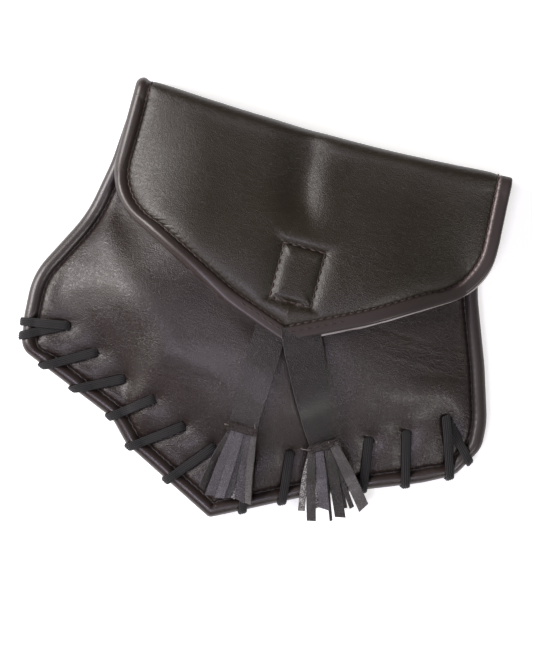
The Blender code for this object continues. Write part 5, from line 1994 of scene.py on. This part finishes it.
def make_strap(side, lean, seed):
    """A strap of soft leather from under the flap's tip to its fringed end."""
    centres, widths = strap_line(side)
    centres[-1] += unit(centres[-1] - centres[-2]) * 0.0016
    gone = gone_along(centres)
    at = np.linspace(0.0, gone[-1], 70)
    line = np.column_stack([eased(np.interp(at, gone, centres[:, i]), 4) for i in (0, 1)])
    line[0], line[-1] = centres[0], centres[-1]
    wide = eased(np.interp(at, gone, widths), 3)
    heading = unit(np.gradient(line, axis=0))
    aside = np.column_stack([heading[:, 1], -heading[:, 0]])
    levels = [
        lying_level(line + aside * (share * wide / 2)[:, None]) for share in (-1, -0.5, 0, 0.5, 1)
    ]
    highest = np.max(levels, axis=0)
    level = eased(highest, 3)
    level += np.maximum(highest - level, 0.0).max() * 0.5
    tilt = eased((levels[0] - levels[-1]) / wide, 4)
    rising = smooth_step(1.0 - (at[-1] - at) / STRAP_RISE_LENGTH)
    level = level + 0.0002 + STRAP_THICKNESS / 2 + 0.0005 * rising
    level = level + 0.00025 * ripple(at, np.zeros(len(at)), 0.012, seed)
    points = np.column_stack([line[:, 0], -line[:, 1], level])
    lift = tilt * 0.7 + lean
    ups = np.column_stack([lift * aside[:, 0], -lift * aside[:, 1], np.ones(len(at))])
    sections = []
    for k, w in enumerate(wide):
        frayed = 1.0 + 0.012 * float(ripple(at[k], 0.0, 0.004, seed + 5))
        section, kinds = strip_section(w / 2 * frayed, 0.00040, columns=8, crown=0.00015)
        sections.append(section)
    # The left strap is toned a little lighter than the right: painted light, since the two straps
    # differ mostly in how they face the light
    tone = 0.22 if side == "left" else 0.18
    strap = sweep(
        f"strap_{side}_leather", points, ups, sections, [STRAP_LEATHER, BACKING, PAINTED_SHADE_EDGE], kinds,
        tone,
    )
    dress(strap, "strap_leather", f"strap_{side}")
    return points[-1, 2], tree_of(strap)


def make_tassel(side, seed, held_at):
    """The strips of a tassel's fringe, and the place and level of its sewn head."""
    centres, widths = strap_line(side)
    ahead = unit(centres[-1] - centres[-2])
    aside = np.array([ahead[1], -ahead[0]])
    start = centres[-1] + ahead * CLEARANCE
    end = start + ahead * HEAD_LENGTH
    width = widths[-1]
    spots = np.array([
        end + ahead * far + aside * width / 2 * share
        for far in (-0.003, 0.0005)
        for share in (-1.0, 0.0, 1.0)
    ])
    held_at = max(held_at, lying_level(spots).max() + HEAD_THICKNESS / 2)
    chance = np.random.RandomState(seed)
    strips = []
    for k, (root, tip, wide, layer, roll, turned, tone) in enumerate(FRINGE_STRIPS[side]):
        root, tip = np.array(root) * MM, np.array(tip) * MM
        heading = unit(tip - root)
        length = float(np.linalg.norm(tip - root))
        side_way = np.array([heading[1], -heading[0]])
        at = np.linspace(-0.0020, length, 28)
        share = np.clip(at / length, 0.0, 1.0)
        sway = chance.uniform(-0.0008, 0.0008) * np.sin(np.pi * share)
        bow = chance.uniform(0.0, 0.0007)
        line = root + heading * at[:, None] + side_way * sway[:, None]
        across_by = side_way * wide * MM / 2
        under = lying_level(np.stack([line - across_by, line, line + across_by], 1), 0.0006)
        highest = under.max(axis=1)
        base = eased(highest, 2)
        base += np.maximum(highest - base, 0.0).max() * 0.6 + 0.0006
        leaving = smooth_step(at / 0.0150)
        level = base + 0.00055 * layer + bow * np.sin(np.pi * share)
        level = (held_at + 0.00022 * (layer - 2.0)) * (1 - leaving) + level * leaving
        level = np.maximum(level, base)
        points = np.column_stack([line[:, 0], -line[:, 1], level])
        rolled = np.radians(roll) * smooth_step(share * 1.6) * (1 + 0.25 * share)
        ups = np.column_stack([
            np.sin(rolled) * side_way[0], -np.sin(rolled) * side_way[1], np.cos(rolled)
        ])
        half = wide * MM / 2 * (0.80 + 0.20 * smooth_step(share * 2.2))
        sections = []
        for j in range(len(at)):
            section, kinds = strip_section(half[j], FRINGE_THICKNESS / 2, columns=5, crown=0.00005)
            sections.append(section)
        slant = chance.uniform(-0.22, 0.22)
        kinds = [(1, 0, 2)[kind] for kind in kinds] if turned else kinds
        strip = sweep(
            f"tassel_{side}_strip_{k}", points, ups, sections, [STRAP_LEATHER, BACKING, PAINTED_SHADE_EDGE],
            kinds, tone,
        )
        cut_slanting(strip, root, heading, side_way, length, slant)
        strips.append(strip)
    return (start + end) / 2, ahead, aside, width, held_at, strips


def cut_slanting(strip, root, heading, side_way, length, slant):
    """Draws a strip's end to a slanting cut."""
    for vertex in strip.data.vertices:
        place = np.array(vertex.co) - ORIGIN
        spot = np.array([place[0], -place[1]]) - root
        share = max(0.0, (spot @ heading / length - 0.85) / 0.15)
        move = heading * float(spot @ side_way) * slant * 2 * min(share, 1.0)
        vertex.co.x += move[0]
        vertex.co.y -= move[1]


def join(name, pieces):
    """Several pieces as one mesh."""
    bm = bmesh.new()
    finishes = []
    for piece in pieces:
        before = len(bm.faces)
        bm.from_mesh(piece.data)
        bm.faces.ensure_lookup_table()
        indices = []
        for finish in piece.data.materials:
            if finish not in finishes:
                finishes.append(finish)
            indices.append(finishes.index(finish))
        for face in bm.faces[before:]:
            face.material_index = indices[min(face.material_index, len(indices) - 1)]
        old = piece.data
        bpy.data.objects.remove(piece)
        bpy.data.meshes.remove(old)
    return object_of(name, bm, finishes)


def make_head(side, tassel, seed):
    """The folded band that holds a tassel's strips, bound with brown thread."""
    middle, ahead, aside, width, base, strips = tassel
    chance = np.random.RandomState(seed)
    shares = np.linspace(-1.0, 1.0, 30)
    half = width / 2 + 0.0004
    points = []
    for share in shares:
        place = middle + aside * half * share
        points.append((place[0], -place[1], base - 0.0004 * share**2))
    sections = []
    for share in shares:
        round_end = (1.0 - abs(share) ** 10) ** 0.5 * 0.55 + 0.45
        ring = []
        for k in range(20):
            a = 2 * math.pi * k / 20
            c, s = math.cos(a), math.sin(a)
            long = HEAD_LENGTH / 2 * math.copysign(abs(c) ** 0.6, c)
            high = HEAD_THICKNESS / 2 * round_end * math.copysign(abs(s) ** 0.8, s)
            ring.append((long, high))
        sections.append(ring)
    band = sweep(f"tassel_{side}_band", points, TO_FRONT, sections, [STRAP_LEATHER], tone=0.0)
    wraps = []
    for row, (offset, pitch, long, turn) in enumerate(HEAD_THREADS[side]):
        line = []
        for share in np.linspace(-0.98, 0.98, 60):
            wave = 0.00022 * math.sin(share * 31 + row) + chance.uniform(-0.0001, 0.0001)
            place = middle + aside * half * share + ahead * (offset * HEAD_LENGTH + wave)
            line.append((place[0], -place[1], base + HEAD_THICKNESS / 2 - 0.0003))
        wraps.append(stitch_row(
            f"wrap_{side}_{row}", line, TO_FRONT, pitch, long, radius=0.00022, rise=0.0009,
            turn=turn, unevenness=0.22, thread=DARK_THREAD,
        ))
    ends = []
    for k in range(11):
        share = chance.uniform(-1.05, 1.05)
        place = middle + aside * half * share + ahead * chance.uniform(-0.5, 0.45) * HEAD_LENGTH
        turn = chance.uniform(0, 2 * math.pi)
        long = chance.uniform(0.0008, 0.0019)
        if k < 3:
            place = middle - aside * half * (0.95 + 0.03 * k)
            turn = math.atan2(aside[1], -aside[0]) + (k - 1) * 0.25
            long = 0.0045 if side == "right" and k == 0 else 0.0018
        bend = chance.uniform(-0.8, 0.8)
        path = []
        for t in np.linspace(0.0, 1.0, 6):
            a = turn + bend * t
            path.append((
                place[0] + math.cos(a) * long * t,
                -place[1] + math.sin(a) * long * t,
                base + HEAD_THICKNESS / 2 + 0.0002 + 0.0007 * math.sin(math.pi * t * 0.8),
            ))
        ring = [(0.00008 * math.cos(j * 1.2566), 0.00008 * math.sin(j * 1.2566)) for j in range(5)]
        thread = PALE_THREAD if k in (0, 4) else DARK_THREAD
        ends.append(sweep(f"end_{side}_{k}", path, (0.0, 0.1, 1.0), ring, [thread]))
    threads = join(f"tassel_{side}_threads", wraps + ends)
    fringe = join(f"tassel_{side}_fringe", strips)
    dress(band, "strap_leather")
    dress(threads, "leather")
    dress(fringe, "strap_leather", f"tassel_{side}")


for side, lean, seed in (("left", -0.05, 61), ("right", 0.04, 71)):
    held_at, strap_tree = make_strap(side, lean, seed)
    make_head(side, make_tassel(side, seed + 1, held_at), seed + 2)
    carriers.append(strap_tree)


def make_patch():
    """The hook tape between the flap and the front."""
    half = BOX_HEIGHT / 2 + PATCH_MARGIN
    points = []
    for share in np.linspace(-1.0, 1.0, 14):
        spot = np.array([BOX_SIDE_OFFSET, BOX_OFFSET + share * half])
        edge = BOX_WIDTH / 2 + PATCH_MARGIN
        spots = np.array([[spot + (a, 0.0)] for a in (-edge, 0.0, edge)])
        level = lying_level(spots).max() + STRAP_LIFT + PATCH_THICKNESS / 2
        points.append((spot[0], -spot[1], level))
    section, _ = strip_section(BOX_WIDTH / 2 + PATCH_MARGIN, PATCH_THICKNESS / 2, 8)
    patch = sweep("closure_tape", points, TO_FRONT, section, [HOOKS])
    dress(patch, "fastener", "closure_patch")


make_patch()


def make_belt_band():
    """The band on the back that a belt goes through, with its sewn ends."""
    against = SEAT_HEIGHT - BACK_OUTER - CLEARANCE
    run = np.cumsum((0.0, LOOP_TAB, LOOP_RAMP, BELT_SPACE_WIDE, LOOP_RAMP, LOOP_TAB))
    height = (against, against, LOOP_WALL, LOOP_WALL, against, against)
    at = np.linspace(0.0, run[-1], 140)
    level = eased(np.interp(at, run, height), 2) - LOOP_WALL / 2
    points = np.column_stack([np.zeros(len(at)), -LOOP_TOP_OFFSET - at, level])
    columns = 30
    section, _ = strip_section(LOOP_WIDTH / 2, LOOP_WALL / 2 - 0.00002, columns)
    kinds = [0 if index > columns else 1 for index in range(len(section))]
    band = sweep("belt_band", points, TO_FRONT, section, [LEATHER, POCKET_BACKING], kinds)
    dress(band, "leather", "belt_loop")
    low = against - LOOP_WALL
    rows = []
    for nth, (top, bottom) in enumerate((
        (0.0020, LOOP_TAB - 0.0016), (run[-1] - LOOP_TAB + 0.0016, run[-1] - 0.0020)
    )):
        half = LOOP_WIDTH / 2 - SEAM_INSET
        corners = [(-half, top), (half, top), (half, bottom), (-half, bottom), (-half, top)]
        for leg, (a, b) in enumerate(zip(corners, corners[1:])):
            line = []
            for t in np.linspace(0.0, 1.0, 8):
                y = -LOOP_TOP_OFFSET - a[1] - (b[1] - a[1]) * t
                line.append((a[0] + (b[0] - a[0]) * t, y, low - 0.0001))
            rows.append(stitch_row(f"band_stitches_{nth}_{leg}", line, TO_BACK, rise=0.0008))
    for edge in (-1, 1):
        line = np.column_stack([
            np.full(len(at), edge * (LOOP_WIDTH / 2 - SEAM_INSET)), points[:, 1],
            points[:, 2] - LOOP_WALL / 2 - 0.00002,
        ])
        kept = (at > LOOP_TAB) & (at < run[-1] - LOOP_TAB)
        rows.append(stitch_row(f"band_edge_{edge + 1}", line[kept], TO_BACK, rise=0.0003))
    dress(join("belt_band_stitches", rows), "leather")


make_belt_band()
